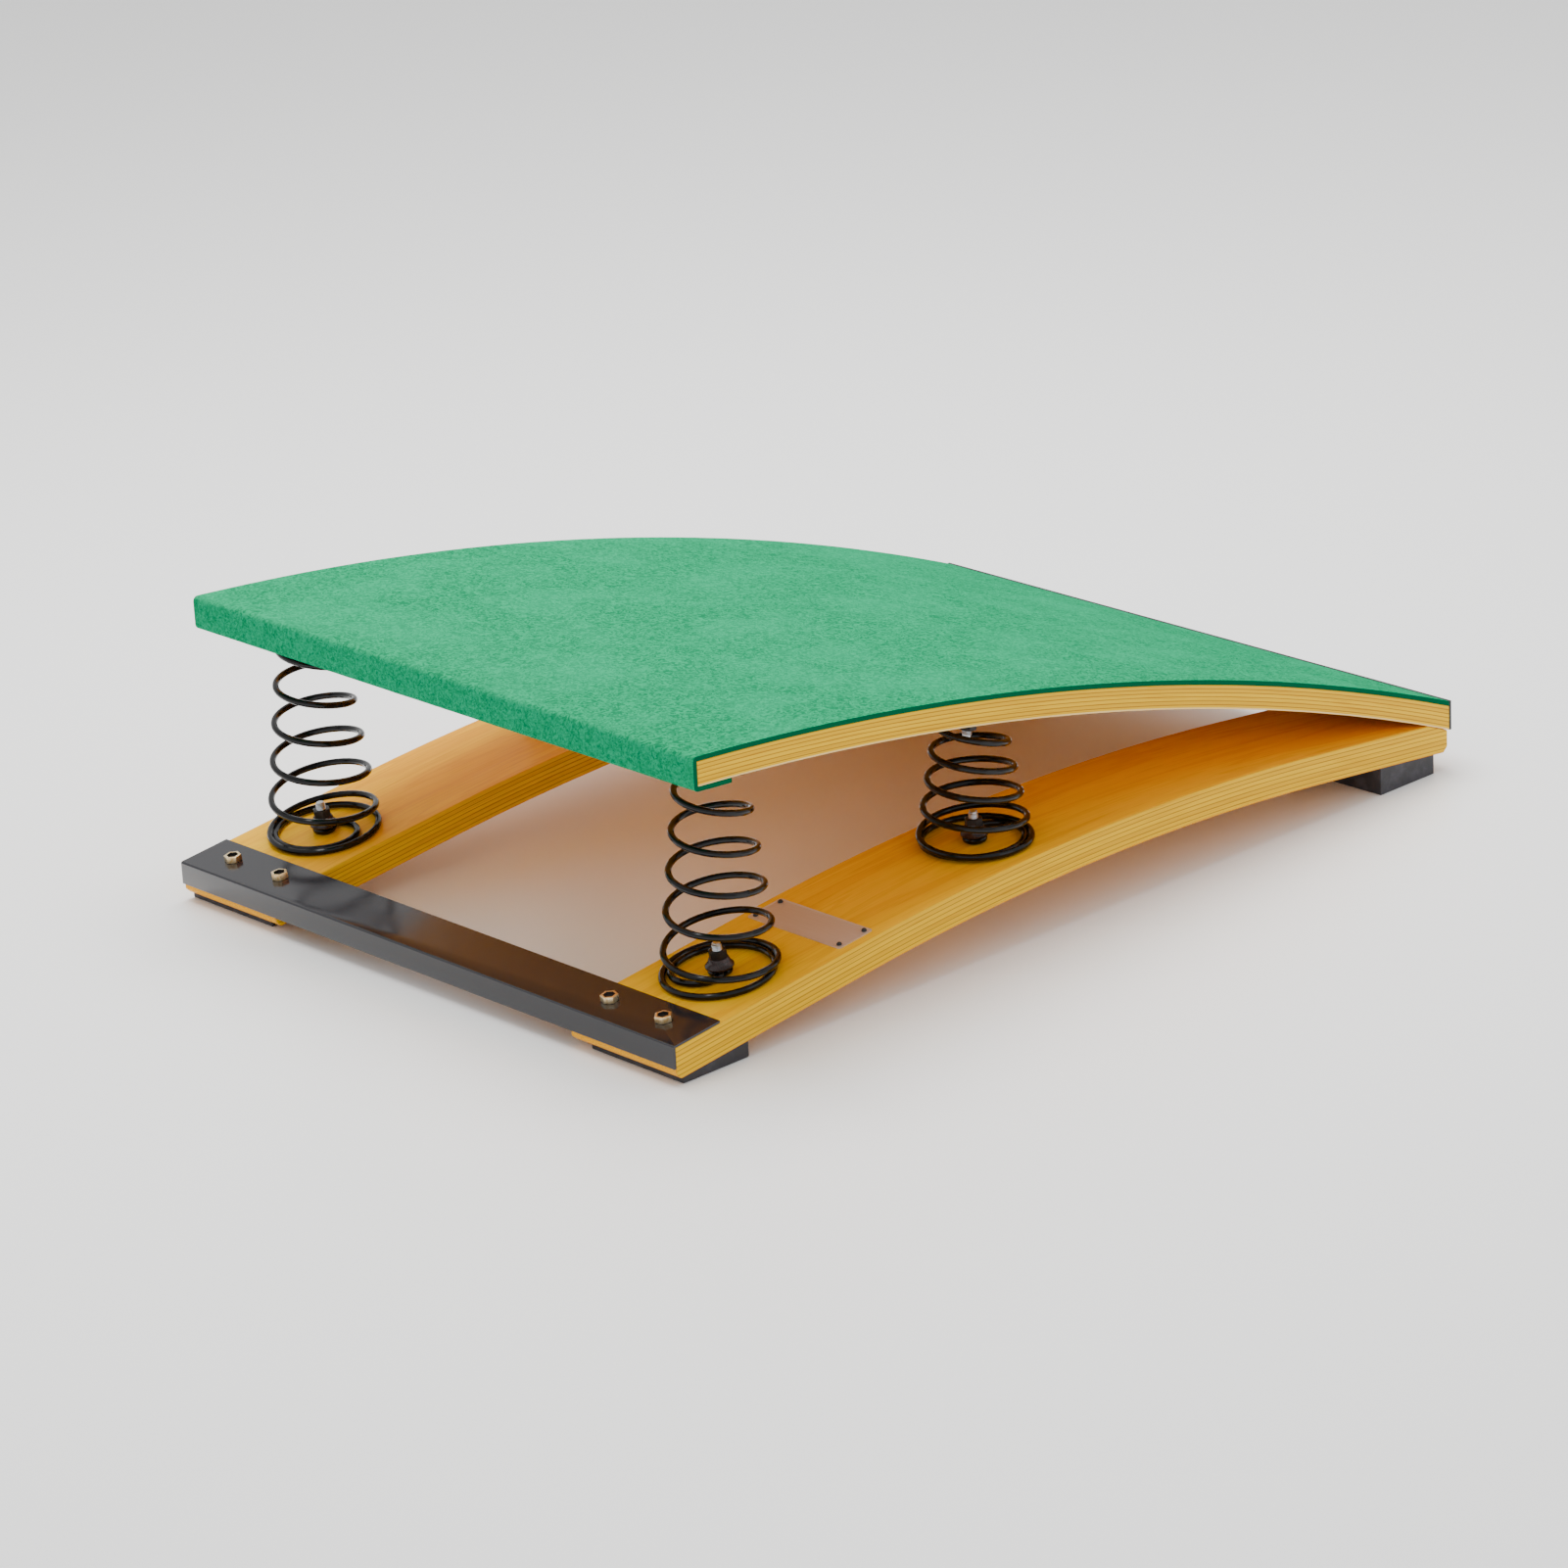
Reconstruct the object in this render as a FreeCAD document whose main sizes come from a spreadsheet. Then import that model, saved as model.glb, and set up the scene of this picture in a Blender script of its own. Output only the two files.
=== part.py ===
"""Gymnastics springboard: a bent plywood deck on four conical springs over two bent plywood rails.

Millimetres. +X runs from the high front edge to the low rear edge, +Y to the right-hand rail as a
gymnast running up the board sees it, +Z up. The origin is on the floor, under the middle of the board.
"""
import FreeCAD
import Part
import Sketcher
import math
import os
from FreeCAD import Placement, Rotation, Vector

SIZES = {
    "board_width": 600.0,
    # deck: one bend about a far centre below the floor
    "deck_bend_radius": 2720.0,
    "deck_bend_x": -577.0,
    "deck_bend_depth": 2461.0,
    "deck_front": 407.5,
    "deck_rear": 444.5,
    "ply_thickness": 20.0,
    # carpet glued on the deck, wrapped round the front edge
    "carpet_thickness": 4.0,
    "carpet_return": 38.0,
    "glue_gap": 0.1,
    # rails: straight ends, one bend between them
    "rail_width": 120.0,
    "rail_thickness": 27.0,
    "rail_front": 445.0,
    "rail_rear": 442.0,
    "rail_front_height": 4.7,
    "rail_rear_height": 15.0,
    "rail_front_slope": 6.8,
    "rail_rear_slope": 6.0,
    "rail_bend_radius": 2425.0,
    "rail_bevel_start": 417.0,
    "rail_bevel_end_height": 34.6,
    "rail_nose": 5.0,
    # steel angle across the front
    "angle_thickness": 2.0,
    "angle_depth": 48.0,
    "angle_height": 19.0,
    # feet
    "foot_width": 104.0,
    "foot_length": 68.0,
    "front_foot_x": -438.0,
    "rear_foot_x": 357.0,
    "foot_screw_hole": 2.5,
    "foot_screw_sink": 6.5,
    "foot_screw_sink_depth": 4.0,
    "foot_screw_lift": 1.0,
    "wood_screw_radius": 2.4,
    "wood_screw_head": 5.0,
    "wood_screw_head_height": 2.6,
    "wood_screw_bite": 12.0,
    # M8 hardware
    "bolt_radius": 4.0,
    "bolt_hole": 4.5,
    "nut_flats": 13.0,
    "nut_height": 6.5,
    "head_height": 5.3,
    "washer_radius": 8.0,
    "washer_thickness": 1.6,
    "counterbore": 11.0,
    "angle_nut_depth": 9.5,
    "base_head_depth": 7.5,
    "deck_head_depth": 3.0,
    "deck_head_radius": 10.0,
    "deck_head_height": 2.6,
    "thread_end": 6.0,
    "rear_bolt_x": 423.0,
    "rear_hole": 7.0,
    "rear_counterbore": 13.0,
    "rear_counterbore_depth": 12.0,
    "buffer_gap": 0.3,
    "buffer_thickness": 2.7,
    "buffer_radius": 10.0,
    "rear_washer_radius": 9.0,
    "rear_nut_room": 13.0,
    # springs
    "wire_radius": 2.75,
    "eye_gap": 0.35,
    "cup_radius": 11.5,
    "cup_top_radius": 7.5,
    "cup_height": 8.0,
    # label plate and edge strip
    "plate_length": 37.0,
    "plate_width": 104.0,
    "plate_thickness": 0.8,
    "plate_pin_inset": 5.0,
    "plate_pin_radius": 1.0,
    "plate_pin_head": 2.2,
    "plate_pin_length": 8.0,
    "strip_thickness": 2.5,
    "strip_screw_radius": 1.7,
    "strip_screw_head": 3.7,
    "strip_screw_sink": 2.1,
    "strip_screw_length": 17.5,
}

SIDES = {"left": -1, "right": 1}
RAIL_Y = 240.0
FOOT_Y = 247.0
ANGLE_BOLT_X = -421.5
ANGLE_BOLT_OFFSETS = (-22.0, 39.0)
ANGLE_BOLT_LENGTH = 28.5
REAR_BOLT_LENGTH = 52.0
SPRING_X = {"front": -342.0, "middle": -64.0}
REAR_BOLT_OFFSETS = (-34.0, 34.0)
REAR_NUT_CLEARANCE = 1.6
PLATE_X = -247.0
FOOT_SCREW_OFFSETS = (-34.0, 34.0)
FRONT_FOOT_SCREW_X = 46.0
REAR_FOOT_SCREW_X = 22.0
STRIP_SCREW_Y = (-260.0, -130.0, 0.0, 130.0, 260.0)

doc = FreeCAD.newDocument("springboard")
sheet = doc.addObject("Spreadsheet::Sheet", "sizes")
for row, (alias, value) in enumerate(SIZES.items(), start=1):
    sheet.set(f"A{row}", alias)
    sheet.set(f"B{row}", str(value))
    sheet.setAlias(f"B{row}", alias)
doc.recompute()

PARTS = {}


def size(alias):
    """The value of one spreadsheet cell."""
    return float(sheet.get(alias))


def keep(node, obj):
    """Register a finished sub-part under its node name."""
    obj.Label = node
    PARTS[node] = obj
    return obj


# ---------------------------------------------------------------- surfaces of the bent boards

def slope_tan(alias):
    return math.tan(math.radians(size(alias)))


def bend_vertex():
    """Where the undersides of a rail's two straight ends would meet, and the bend's tangent length."""
    front, rear = slope_tan("rail_front_slope"), slope_tan("rail_rear_slope")
    run = size("rail_front") + size("rail_rear")
    rise = size("rail_rear_height") - size("rail_front_height")
    from_front = (rise + rear * run) / (front + rear)
    x = from_front - size("rail_front")
    z = size("rail_front_height") + front * from_front
    half = math.radians(size("rail_front_slope") + size("rail_rear_slope")) / 2
    return x, z, size("rail_bend_radius") * math.tan(half)


def bend_centre():
    """Centre of the rail's bend, straight below the front end of its arc along the normal."""
    x, z, tangent = bend_vertex()
    angle = math.radians(size("rail_front_slope"))
    start = (x - tangent * math.cos(angle), z - tangent * math.sin(angle))
    radius = size("rail_bend_radius")
    return start[0] + radius * math.sin(angle), start[1] - radius * math.cos(angle)


def rail_slope(x):
    """Slope of the rail at x, in degrees, positive where it rises towards +X."""
    centre_x = bend_centre()[0]
    free = math.degrees(math.asin((centre_x - x) / size("rail_bend_radius")))
    return max(-size("rail_rear_slope"), min(size("rail_front_slope"), free))


def rail_under(x):
    """Height of the rail's underside at x."""
    angle = rail_slope(x)
    if angle == size("rail_front_slope"):
        return size("rail_front_height") + slope_tan("rail_front_slope") * (x + size("rail_front"))
    if angle == -size("rail_rear_slope"):
        return size("rail_rear_height") + slope_tan("rail_rear_slope") * (size("rail_rear") - x)
    return bend_centre()[1] + size("rail_bend_radius") * math.cos(math.radians(angle))


def rail_top(x):
    """Height of the rail's top at x."""
    return rail_under(x) + size("rail_thickness") / math.cos(math.radians(rail_slope(x)))


def deck_height(x, below):
    """Height of the deck's surface at x, that many millimetres below the carpet's top."""
    radius = size("deck_bend_radius") - below
    return math.sqrt(radius ** 2 - (x - size("deck_bend_x")) ** 2) - size("deck_bend_depth")


def deck_slope(x):
    return -math.degrees(math.asin((x - size("deck_bend_x")) / size("deck_bend_radius")))


def deck_under(x):
    return deck_height(x, size("carpet_thickness") + size("ply_thickness"))


def tilted(x, y, z, slope):
    """A placement whose local Z stands square to a surface that slopes along X."""
    return Placement(Vector(x, y, z), Rotation(Vector(0, 1, 0), -slope))


# ---------------------------------------------------------------- drawing helpers

def origin_plane(body, role):
    return next(f for f in body.Origin.OriginFeatures if f.Role == role)


def new_sketch(body, name, role="XZ_Plane"):
    sketch = body.newObject("Sketcher::SketchObject", name)
    sketch.AttachmentSupport = [(origin_plane(body, role), "")]
    sketch.MapMode = "FlatFace"
    return sketch


def line(a, b):
    return Part.LineSegment(Vector(*a, 0), Vector(*b, 0))


def arc(centre, radius, start, end):
    """An arc drawn anticlockwise from start to end about centre."""
    circle = Part.Circle(Vector(*centre, 0), Vector(0, 0, 1), radius)
    first = math.atan2(start[1] - centre[1], start[0] - centre[0])
    last = math.atan2(end[1] - centre[1], end[0] - centre[0])
    return Part.ArcOfCircle(circle, first, last)


def bind(sketch, kind, *refs, value, formula):
    """Add one dimension to a sketch and drive it from the sheet."""
    index = sketch.addConstraint(Sketcher.Constraint(kind, *refs, value))
    sketch.setExpression(f"Constraints[{index}]", formula)


def fix(sketch, kind, *refs):
    sketch.addConstraint(Sketcher.Constraint(kind, *refs))


def pad(body, sketch, length_formula, name):
    feature = body.newObject("PartDesign::Pad", name)
    feature.Profile = sketch
    feature.SideType = "Symmetric"
    feature.setExpression("Length", length_formula)
    body.Tip = feature
    return feature


def cylinder(name, radius, height, placement):
    """A Part cylinder whose radius and height are formulas on the sheet."""
    obj = doc.addObject("Part::Cylinder", name)
    obj.setExpression("Radius", radius)
    obj.setExpression("Height", height)
    obj.Placement = placement
    return obj


def fused(name, pieces):
    obj = doc.addObject("Part::MultiFuse", name)
    obj.Shapes = pieces
    return obj


def cut(name, base, tools):
    obj = doc.addObject("Part::Cut", name)
    obj.Base = base
    obj.Tool = tools[0] if len(tools) == 1 else fused(name + "_tools", tools)
    return obj


def group(node, pieces):
    obj = doc.addObject("Part::Compound", node)
    obj.Links = pieces
    return keep(node, obj)


def shifted(place, distance):
    """The same placement moved along its own Z."""
    return place.multiply(Placement(Vector(0, 0, distance), Rotation()))


def hex_piece(name, height, placement):
    """A hexagon with its top corners turned off, as on a bolt head or nut."""
    prism = doc.addObject("Part::Prism", name + "_prism")
    prism.Polygon = 6
    prism.setExpression("Circumradius", "sizes.nut_flats / sqrt(3)")
    prism.setExpression("Height", height)
    turning = cone(name + "_turning", f"sizes.nut_flats * 0.48 + 1.73 * {height}",
                   "sizes.nut_flats * 0.48", height, Placement())
    common = doc.addObject("Part::Common", name)
    common.Base = prism
    common.Tool = turning
    common.Placement = placement
    return common


def turned_over(placement):
    """The same placement with its local Z pointing the other way."""
    return placement.multiply(Placement(Vector(), Rotation(Vector(1, 0, 0), 180)))


def cone(name, low_radius, high_radius, height, placement):
    """A Part cone whose radii and height are formulas on the sheet."""
    obj = doc.addObject("Part::Cone", name)
    obj.setExpression("Radius1", low_radius)
    obj.setExpression("Radius2", high_radius)
    obj.setExpression("Height", height)
    obj.Placement = placement
    return obj


def bolt(name, length, placement):
    """A hexagon bolt: its head's bearing face is at the local origin and its shank runs along -Z."""
    head = hex_piece(name + "_head", "sizes.head_height", Placement())
    shank = doc.addObject("Part::Cylinder", name + "_shank")
    shank.setExpression("Radius", "sizes.bolt_radius")
    shank.Height = length
    shank.Placement = Placement(Vector(0, 0, -length), Rotation())
    whole = fused(name, [head, shank])
    whole.Placement = placement
    return whole


def nut(name, placement):
    """A hexagon nut with its bore, seated on the local origin."""
    body = hex_piece(name + "_hex", "sizes.nut_height", Placement())
    bore = cylinder(name + "_bore", "sizes.bolt_radius + 0.02", "sizes.nut_height", Placement())
    whole = cut(name, body, [bore])
    whole.Placement = placement
    return whole


def washer(name, radius, thickness, placement):
    disc = cylinder(name + "_disc", radius, thickness, Placement())
    bore = cylinder(name + "_bore", "sizes.bolt_radius + 0.3", thickness, Placement())
    whole = cut(name, disc, [bore])
    whole.Placement = placement
    return whole


# ---------------------------------------------------------------- rails and feet

def rail_body(name):
    """The bent laminated board of one rail, drawn in side view and padded to its width."""
    body = doc.addObject("PartDesign::Body", name)
    sketch = new_sketch(body, name + "_side")
    xf, xr = -size("rail_front"), size("rail_rear")
    thick = size("rail_thickness")
    bx, bz, tangent = bend_vertex()
    front, rear = math.radians(size("rail_front_slope")), math.radians(size("rail_rear_slope"))
    centre = bend_centre()
    radius = size("rail_bend_radius")
    low_b = (bx - tangent * math.cos(front), bz - tangent * math.sin(front))
    low_c = (bx + tangent * math.cos(rear), bz - tangent * math.sin(rear))
    up_b = (low_b[0] - thick * math.sin(front), low_b[1] + thick * math.cos(front))
    up_c = (low_c[0] + thick * math.sin(rear), low_c[1] + thick * math.cos(rear))
    a = (xf, size("rail_front_height"))
    d = (xr, size("rail_rear_height"))
    e = (xr, size("rail_bevel_end_height"))
    f = (size("rail_bevel_start"), rail_top(size("rail_bevel_start")))
    i = (xf, rail_top(xf))
    sketch.addGeometry([
        line(a, low_b), arc(centre, radius, low_c, low_b), line(low_c, d), line(d, e), line(e, f),
        line(f, up_c), arc(centre, radius + thick, up_c, up_b), line(up_b, i), line(i, a)], False)
    for first, second in ((2, 3), (3, 4), (4, 5), (7, 8), (8, 0)):
        fix(sketch, "Coincident", first, 2, second, 1)
    fix(sketch, "Tangent", 0, 2, 1, 2)
    fix(sketch, "Tangent", 1, 1, 2, 1)
    fix(sketch, "Tangent", 5, 2, 6, 1)
    fix(sketch, "Tangent", 6, 2, 7, 1)
    fix(sketch, "Coincident", 6, 3, 1, 3)
    fix(sketch, "Vertical", 3)
    fix(sketch, "Vertical", 8)
    fix(sketch, "Parallel", 0, 7)
    fix(sketch, "Parallel", 2, 5)
    bind(sketch, "Radius", 1, value=radius, formula="sizes.rail_bend_radius")
    bind(sketch, "Radius", 6, value=radius + thick, formula="sizes.rail_bend_radius + sizes.rail_thickness")
    bind(sketch, "Angle", 0, value=front, formula="sizes.rail_front_slope * 1deg")
    bind(sketch, "Angle", 2, value=-rear, formula="-sizes.rail_rear_slope * 1deg")
    bind(sketch, "DistanceX", 0, 1, -1, 1, value=-a[0], formula="sizes.rail_front")
    bind(sketch, "DistanceY", -1, 1, 0, 1, value=a[1], formula="sizes.rail_front_height")
    bind(sketch, "DistanceX", -1, 1, 3, 1, value=d[0], formula="sizes.rail_rear")
    bind(sketch, "DistanceY", -1, 1, 3, 1, value=d[1], formula="sizes.rail_rear_height")
    bind(sketch, "DistanceY", -1, 1, 3, 2, value=e[1], formula="sizes.rail_bevel_end_height")
    bind(sketch, "DistanceX", -1, 1, 4, 2, value=f[0], formula="sizes.rail_bevel_start")
    board = pad(body, sketch, "sizes.rail_width", name + "_board")
    doc.recompute()
    corners = [f"Edge{n}" for n, edge in enumerate(board.Shape.Edges, start=1)
               if all(any(math.dist((v.Point.x, v.Point.z), end) < 0.01 for end in (a, d))
                      for v in edge.Vertexes)]
    chamfer = body.newObject("PartDesign::Chamfer", name + "_nose")
    chamfer.Base = (board, corners)
    chamfer.setExpression("Size", "sizes.rail_nose")
    body.Tip = chamfer
    return body


def rail_tools(name, inward):
    """Drillings in one rail, in the rail's own frame, where +Y points the way `inward` says."""
    tools = []
    for n, offset in enumerate(ANGLE_BOLT_OFFSETS):
        y = offset * inward
        under = rail_bolt_place(ANGLE_BOLT_X, y, -size("rail_thickness"))
        tools.append(cylinder(f"{name}_angle_hole{n}", "sizes.bolt_hole", "sizes.rail_thickness + 20",
                              shifted(under, -10)))
        tools.append(cylinder(f"{name}_angle_recess{n}", "sizes.counterbore",
                              "sizes.angle_nut_depth + 10",
                              shifted(under, -10)))
    for spring, x in SPRING_X.items():
        under = rail_bolt_place(x, 0, -size("rail_thickness"))
        tools.append(cylinder(f"{name}_{spring}_hole", "sizes.bolt_hole", "sizes.rail_thickness + 20",
                              shifted(under, -10)))
        tools.append(cylinder(f"{name}_{spring}_recess", "sizes.counterbore",
                              "sizes.base_head_depth + 10",
                              shifted(under, -10)))
    for n, y in enumerate(REAR_BOLT_OFFSETS):
        tools.append(cylinder(f"{name}_rear_hole{n}", "sizes.bolt_hole", "60",
                              rear_bolt_place(y, -45)))
    return tools


def rail_bolt_place(x, y, along):
    """A point on the axis of a bolt square to the rail, measured up from the rail's top."""
    return shifted(tilted(x, y, rail_top(x), rail_slope(x)), along)


def rear_bolt_place(y, along):
    """A point on a rear bolt's axis, which stands square to the deck, measured from the joint."""
    x = size("rear_bolt_x")
    return shifted(tilted(x, y, deck_under(x), deck_slope(x)), along)


def make_rails():
    for side, sign in SIDES.items():
        name = f"rail_{side}"
        rail = cut(name, rail_body(name + "_blank"), rail_tools(name, -sign))
        rail.Placement = Placement(Vector(0, sign * RAIL_Y, 0), Rotation())
        keep(name, rail)


def foot_blank(name, x_front):
    """A rubber foot: flat below, cut to the rail's slope above."""
    body = doc.addObject("PartDesign::Body", name)
    sketch = new_sketch(body, name + "_side")
    x_rear = x_front + size("foot_length")
    points = [(x_front, 0), (x_rear, 0), (x_rear, rail_under(x_rear)), (x_front, rail_under(x_front))]
    sketch.addGeometry([line(points[n], points[(n + 1) % 4]) for n in range(4)], False)
    for n in range(4):
        fix(sketch, "Coincident", n, 2, (n + 1) % 4, 1)
    fix(sketch, "Horizontal", 0)
    fix(sketch, "Vertical", 1)
    fix(sketch, "Vertical", 3)
    side = "rail_front" if x_front < 0 else "rail_rear"
    reach = "+ sizes.rail_front" if x_front < 0 else "- sizes.rail_rear"
    sign = 1 if x_front < 0 else -1
    cell = "front_foot_x" if x_front < 0 else "rear_foot_x"
    rule = f"sizes.{side}_height + {sign} * tan(sizes.{side}_slope) * (sizes.{cell}{{}} {reach})"
    bind(sketch, "DistanceY", -1, 1, 0, 1, value=0.0, formula="0")
    bind(sketch, "DistanceX", -1, 1, 0, 1, value=x_front, formula=f"sizes.{cell}")
    bind(sketch, "DistanceX", 0, 1, 0, 2, value=size("foot_length"), formula="sizes.foot_length")
    bind(sketch, "DistanceY", 1, 1, 1, 2, value=points[2][1], formula=rule.format(" + sizes.foot_length"))
    bind(sketch, "DistanceY", 0, 1, 2, 2, value=points[3][1], formula=rule.format(""))
    pad(body, sketch, "sizes.foot_width", name + "_block")
    return body


def foot_screw_places(x_front):
    x = x_front + (FRONT_FOOT_SCREW_X if x_front < 0 else REAR_FOOT_SCREW_X)
    return [(x, offset) for offset in FOOT_SCREW_OFFSETS]


def make_feet():
    """Four rubber feet, each held by two countersunk wood screws driven up from below."""
    screws = []
    for end in ("front", "rear"):
        x_front = size(f"{end}_foot_x")
        for side, sign in SIDES.items():
            name = f"{end}_foot_{side}"
            tools = []
            blank = foot_blank(name + "_blank", x_front)
            blank.Placement = Placement(Vector(0, sign * FOOT_Y, 0), Rotation())
            for n, (x, offset) in enumerate(foot_screw_places(x_front)):
                y = sign * RAIL_Y + offset
                tools.append(cylinder(f"{name}_hole{n}", "sizes.foot_screw_hole", "40",
                                      Placement(Vector(x, y, -5), Rotation())))
                tools.append(cone(f"{name}_sink{n}", "sizes.foot_screw_sink", "sizes.foot_screw_hole",
                                  "sizes.foot_screw_sink_depth", Placement(Vector(x, y, 0), Rotation())))
                screws.append(wood_screw(f"{name}_screw{n}", x, y, rail_under(x)))
            if end == "rear":
                for n, offset in enumerate(REAR_BOLT_OFFSETS):
                    y = sign * RAIL_Y + offset
                    tools.append(cylinder(f"{name}_nut_room{n}", "sizes.rear_nut_room", "40",
                                          rear_bolt_place(y, -63)))
            keep(name, cut(name, blank, tools))
    group("foot_screws", screws)


def wood_screw(name, x, y, height):
    """A countersunk screw from the underside of a foot up into the rail."""
    head = cone(name + "_head", "sizes.wood_screw_head", "sizes.wood_screw_radius",
                "sizes.wood_screw_head_height", Placement())
    shank = cylinder(name + "_shank", "sizes.wood_screw_radius",
                     f"{height} + sizes.wood_screw_bite", Placement())
    whole = fused(name, [head, shank])
    whole.Placement = Placement(Vector(x, y, size("foot_screw_lift")), Rotation())
    return whole


# ---------------------------------------------------------------- front angle

def make_front_angle():
    """The pressed steel angle that ties the two rails together across the front."""
    body = doc.addObject("PartDesign::Body", "front_angle_blank")
    sketch = new_sketch(body, "front_angle_side")
    thick, deep, tall = size("angle_thickness"), size("angle_depth"), size("angle_height")
    slope = math.radians(size("rail_front_slope"))
    x0 = -size("rail_front")
    inner = (x0, rail_top(x0))
    rear_in = (x0 - thick + deep, inner[1] + (deep - thick) * math.tan(slope))
    rear_out = (rear_in[0], rear_in[1] + thick / math.cos(slope))
    corner = (x0 - thick, rail_top(x0) - thick * math.tan(slope) + thick / math.cos(slope))
    toe_out = (x0 - thick, corner[1] - tall)
    toe_in = (x0, toe_out[1])
    points = [inner, rear_in, rear_out, corner, toe_out, toe_in]
    sketch.addGeometry([line(points[n], points[(n + 1) % 6]) for n in range(6)], False)
    for n in range(6):
        fix(sketch, "Coincident", n, 2, (n + 1) % 6, 1)
    for n in (1, 3, 5):
        fix(sketch, "Vertical", n)
    fix(sketch, "Horizontal", 4)
    fix(sketch, "Parallel", 0, 2)
    bind(sketch, "Angle", 0, value=slope, formula="sizes.rail_front_slope * 1deg")
    bind(sketch, "DistanceX", 0, 1, -1, 1, value=-x0, formula="sizes.rail_front")
    height = "sizes.rail_front_height + sizes.rail_thickness / cos(sizes.rail_front_slope)"
    bind(sketch, "DistanceY", -1, 1, 0, 1, value=inner[1], formula=height)
    bind(sketch, "DistanceX", 4, 1, 4, 2, value=thick, formula="sizes.angle_thickness")
    bind(sketch, "DistanceX", 4, 1, 0, 2, value=deep, formula="sizes.angle_depth")
    bind(sketch, "DistanceY", 1, 1, 1, 2, value=thick / math.cos(slope),
         formula="sizes.angle_thickness / cos(sizes.rail_front_slope)")
    bind(sketch, "DistanceY", 3, 2, 3, 1, value=tall, formula="sizes.angle_height")
    plate = pad(body, sketch, "sizes.board_width", "front_angle_plate")
    doc.recompute()
    bends = [f"Edge{n}" for n, edge in enumerate(plate.Shape.Edges, start=1)
             if all(abs(v.Point.x - corner[0]) < 0.01 and abs(v.Point.z - corner[1]) < 0.01
                    for v in edge.Vertexes)]
    fillet = body.newObject("PartDesign::Fillet", "front_angle_bend")
    fillet.Base = (plate, bends)
    fillet.setExpression("Radius", "sizes.angle_thickness * 0.9")
    body.Tip = fillet
    holes = []
    for n, (x, y) in enumerate(angle_bolt_places()):
        holes.append(cylinder(f"front_angle_hole{n}", "sizes.bolt_hole", "20",
                              rail_bolt_place(x, y, -10)))
    keep("front_angle", cut("front_angle", body, holes))


def angle_bolt_places():
    return [(ANGLE_BOLT_X, sign * (RAIL_Y - offset)) for sign in SIDES.values()
            for offset in ANGLE_BOLT_OFFSETS]


def make_angle_bolts():
    """Bolts through the angle and the rails, with washers and nuts in recesses above the feet."""
    bolts, nuts, washers = [], [], []
    for n, (x, y) in enumerate(angle_bolt_places()):
        top = rail_bolt_place(x, y, size("angle_thickness"))
        bolts.append(bolt(f"angle_bolt{n}", ANGLE_BOLT_LENGTH, top))
        down = turned_over(rail_bolt_place(x, y, size("angle_nut_depth") - size("rail_thickness")))
        washers.append(washer(f"angle_washer{n}", "sizes.washer_radius", "sizes.washer_thickness", down))
        nuts.append(nut(f"angle_nut{n}", shifted(down, size("washer_thickness"))))
    group("front_angle_bolts", bolts)
    group("front_angle_washers", washers)
    group("front_angle_nuts", nuts)


# ---------------------------------------------------------------- deck and carpet

def deck_arc_z(x, radius):
    return math.sqrt(radius ** 2 - (x - size("deck_bend_x")) ** 2) - size("deck_bend_depth")


def bind_bend_centre(sketch, index):
    bind(sketch, "DistanceX", index, 3, -1, 1, value=-size("deck_bend_x"), formula="-sizes.deck_bend_x")
    bind(sketch, "DistanceY", index, 3, -1, 1, value=size("deck_bend_depth"),
         formula="sizes.deck_bend_depth")


def deck_blank():
    body = doc.addObject("PartDesign::Body", "deck_blank")
    sketch = new_sketch(body, "deck_side")
    top = size("deck_bend_radius") - size("carpet_thickness")
    low = top - size("ply_thickness")
    centre = (size("deck_bend_x"), -size("deck_bend_depth"))
    xf, xr = -size("deck_front"), size("deck_rear")
    ends = {r: ((xf, deck_arc_z(xf, r)), (xr, deck_arc_z(xr, r))) for r in (top, low)}
    sketch.addGeometry([
        arc(centre, top, ends[top][1], ends[top][0]), line(ends[top][0], ends[low][0]),
        arc(centre, low, ends[low][1], ends[low][0]), line(ends[low][1], ends[top][1])], False)
    fix(sketch, "Coincident", 0, 2, 1, 1)
    fix(sketch, "Coincident", 1, 2, 2, 2)
    fix(sketch, "Coincident", 2, 1, 3, 1)
    fix(sketch, "Coincident", 3, 2, 0, 1)
    fix(sketch, "Coincident", 0, 3, 2, 3)
    fix(sketch, "Vertical", 1)
    fix(sketch, "Vertical", 3)
    bind_bend_centre(sketch, 0)
    bind(sketch, "Radius", 0, value=top, formula="sizes.deck_bend_radius - sizes.carpet_thickness")
    bind(sketch, "Radius", 2, value=low,
         formula="sizes.deck_bend_radius - sizes.carpet_thickness - sizes.ply_thickness")
    bind(sketch, "DistanceX", 1, 1, -1, 1, value=-xf, formula="sizes.deck_front")
    bind(sketch, "DistanceX", -1, 1, 3, 1, value=xr, formula="sizes.deck_rear")
    pad(body, sketch, "sizes.board_width", "deck_board_pad")
    return body


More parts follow.
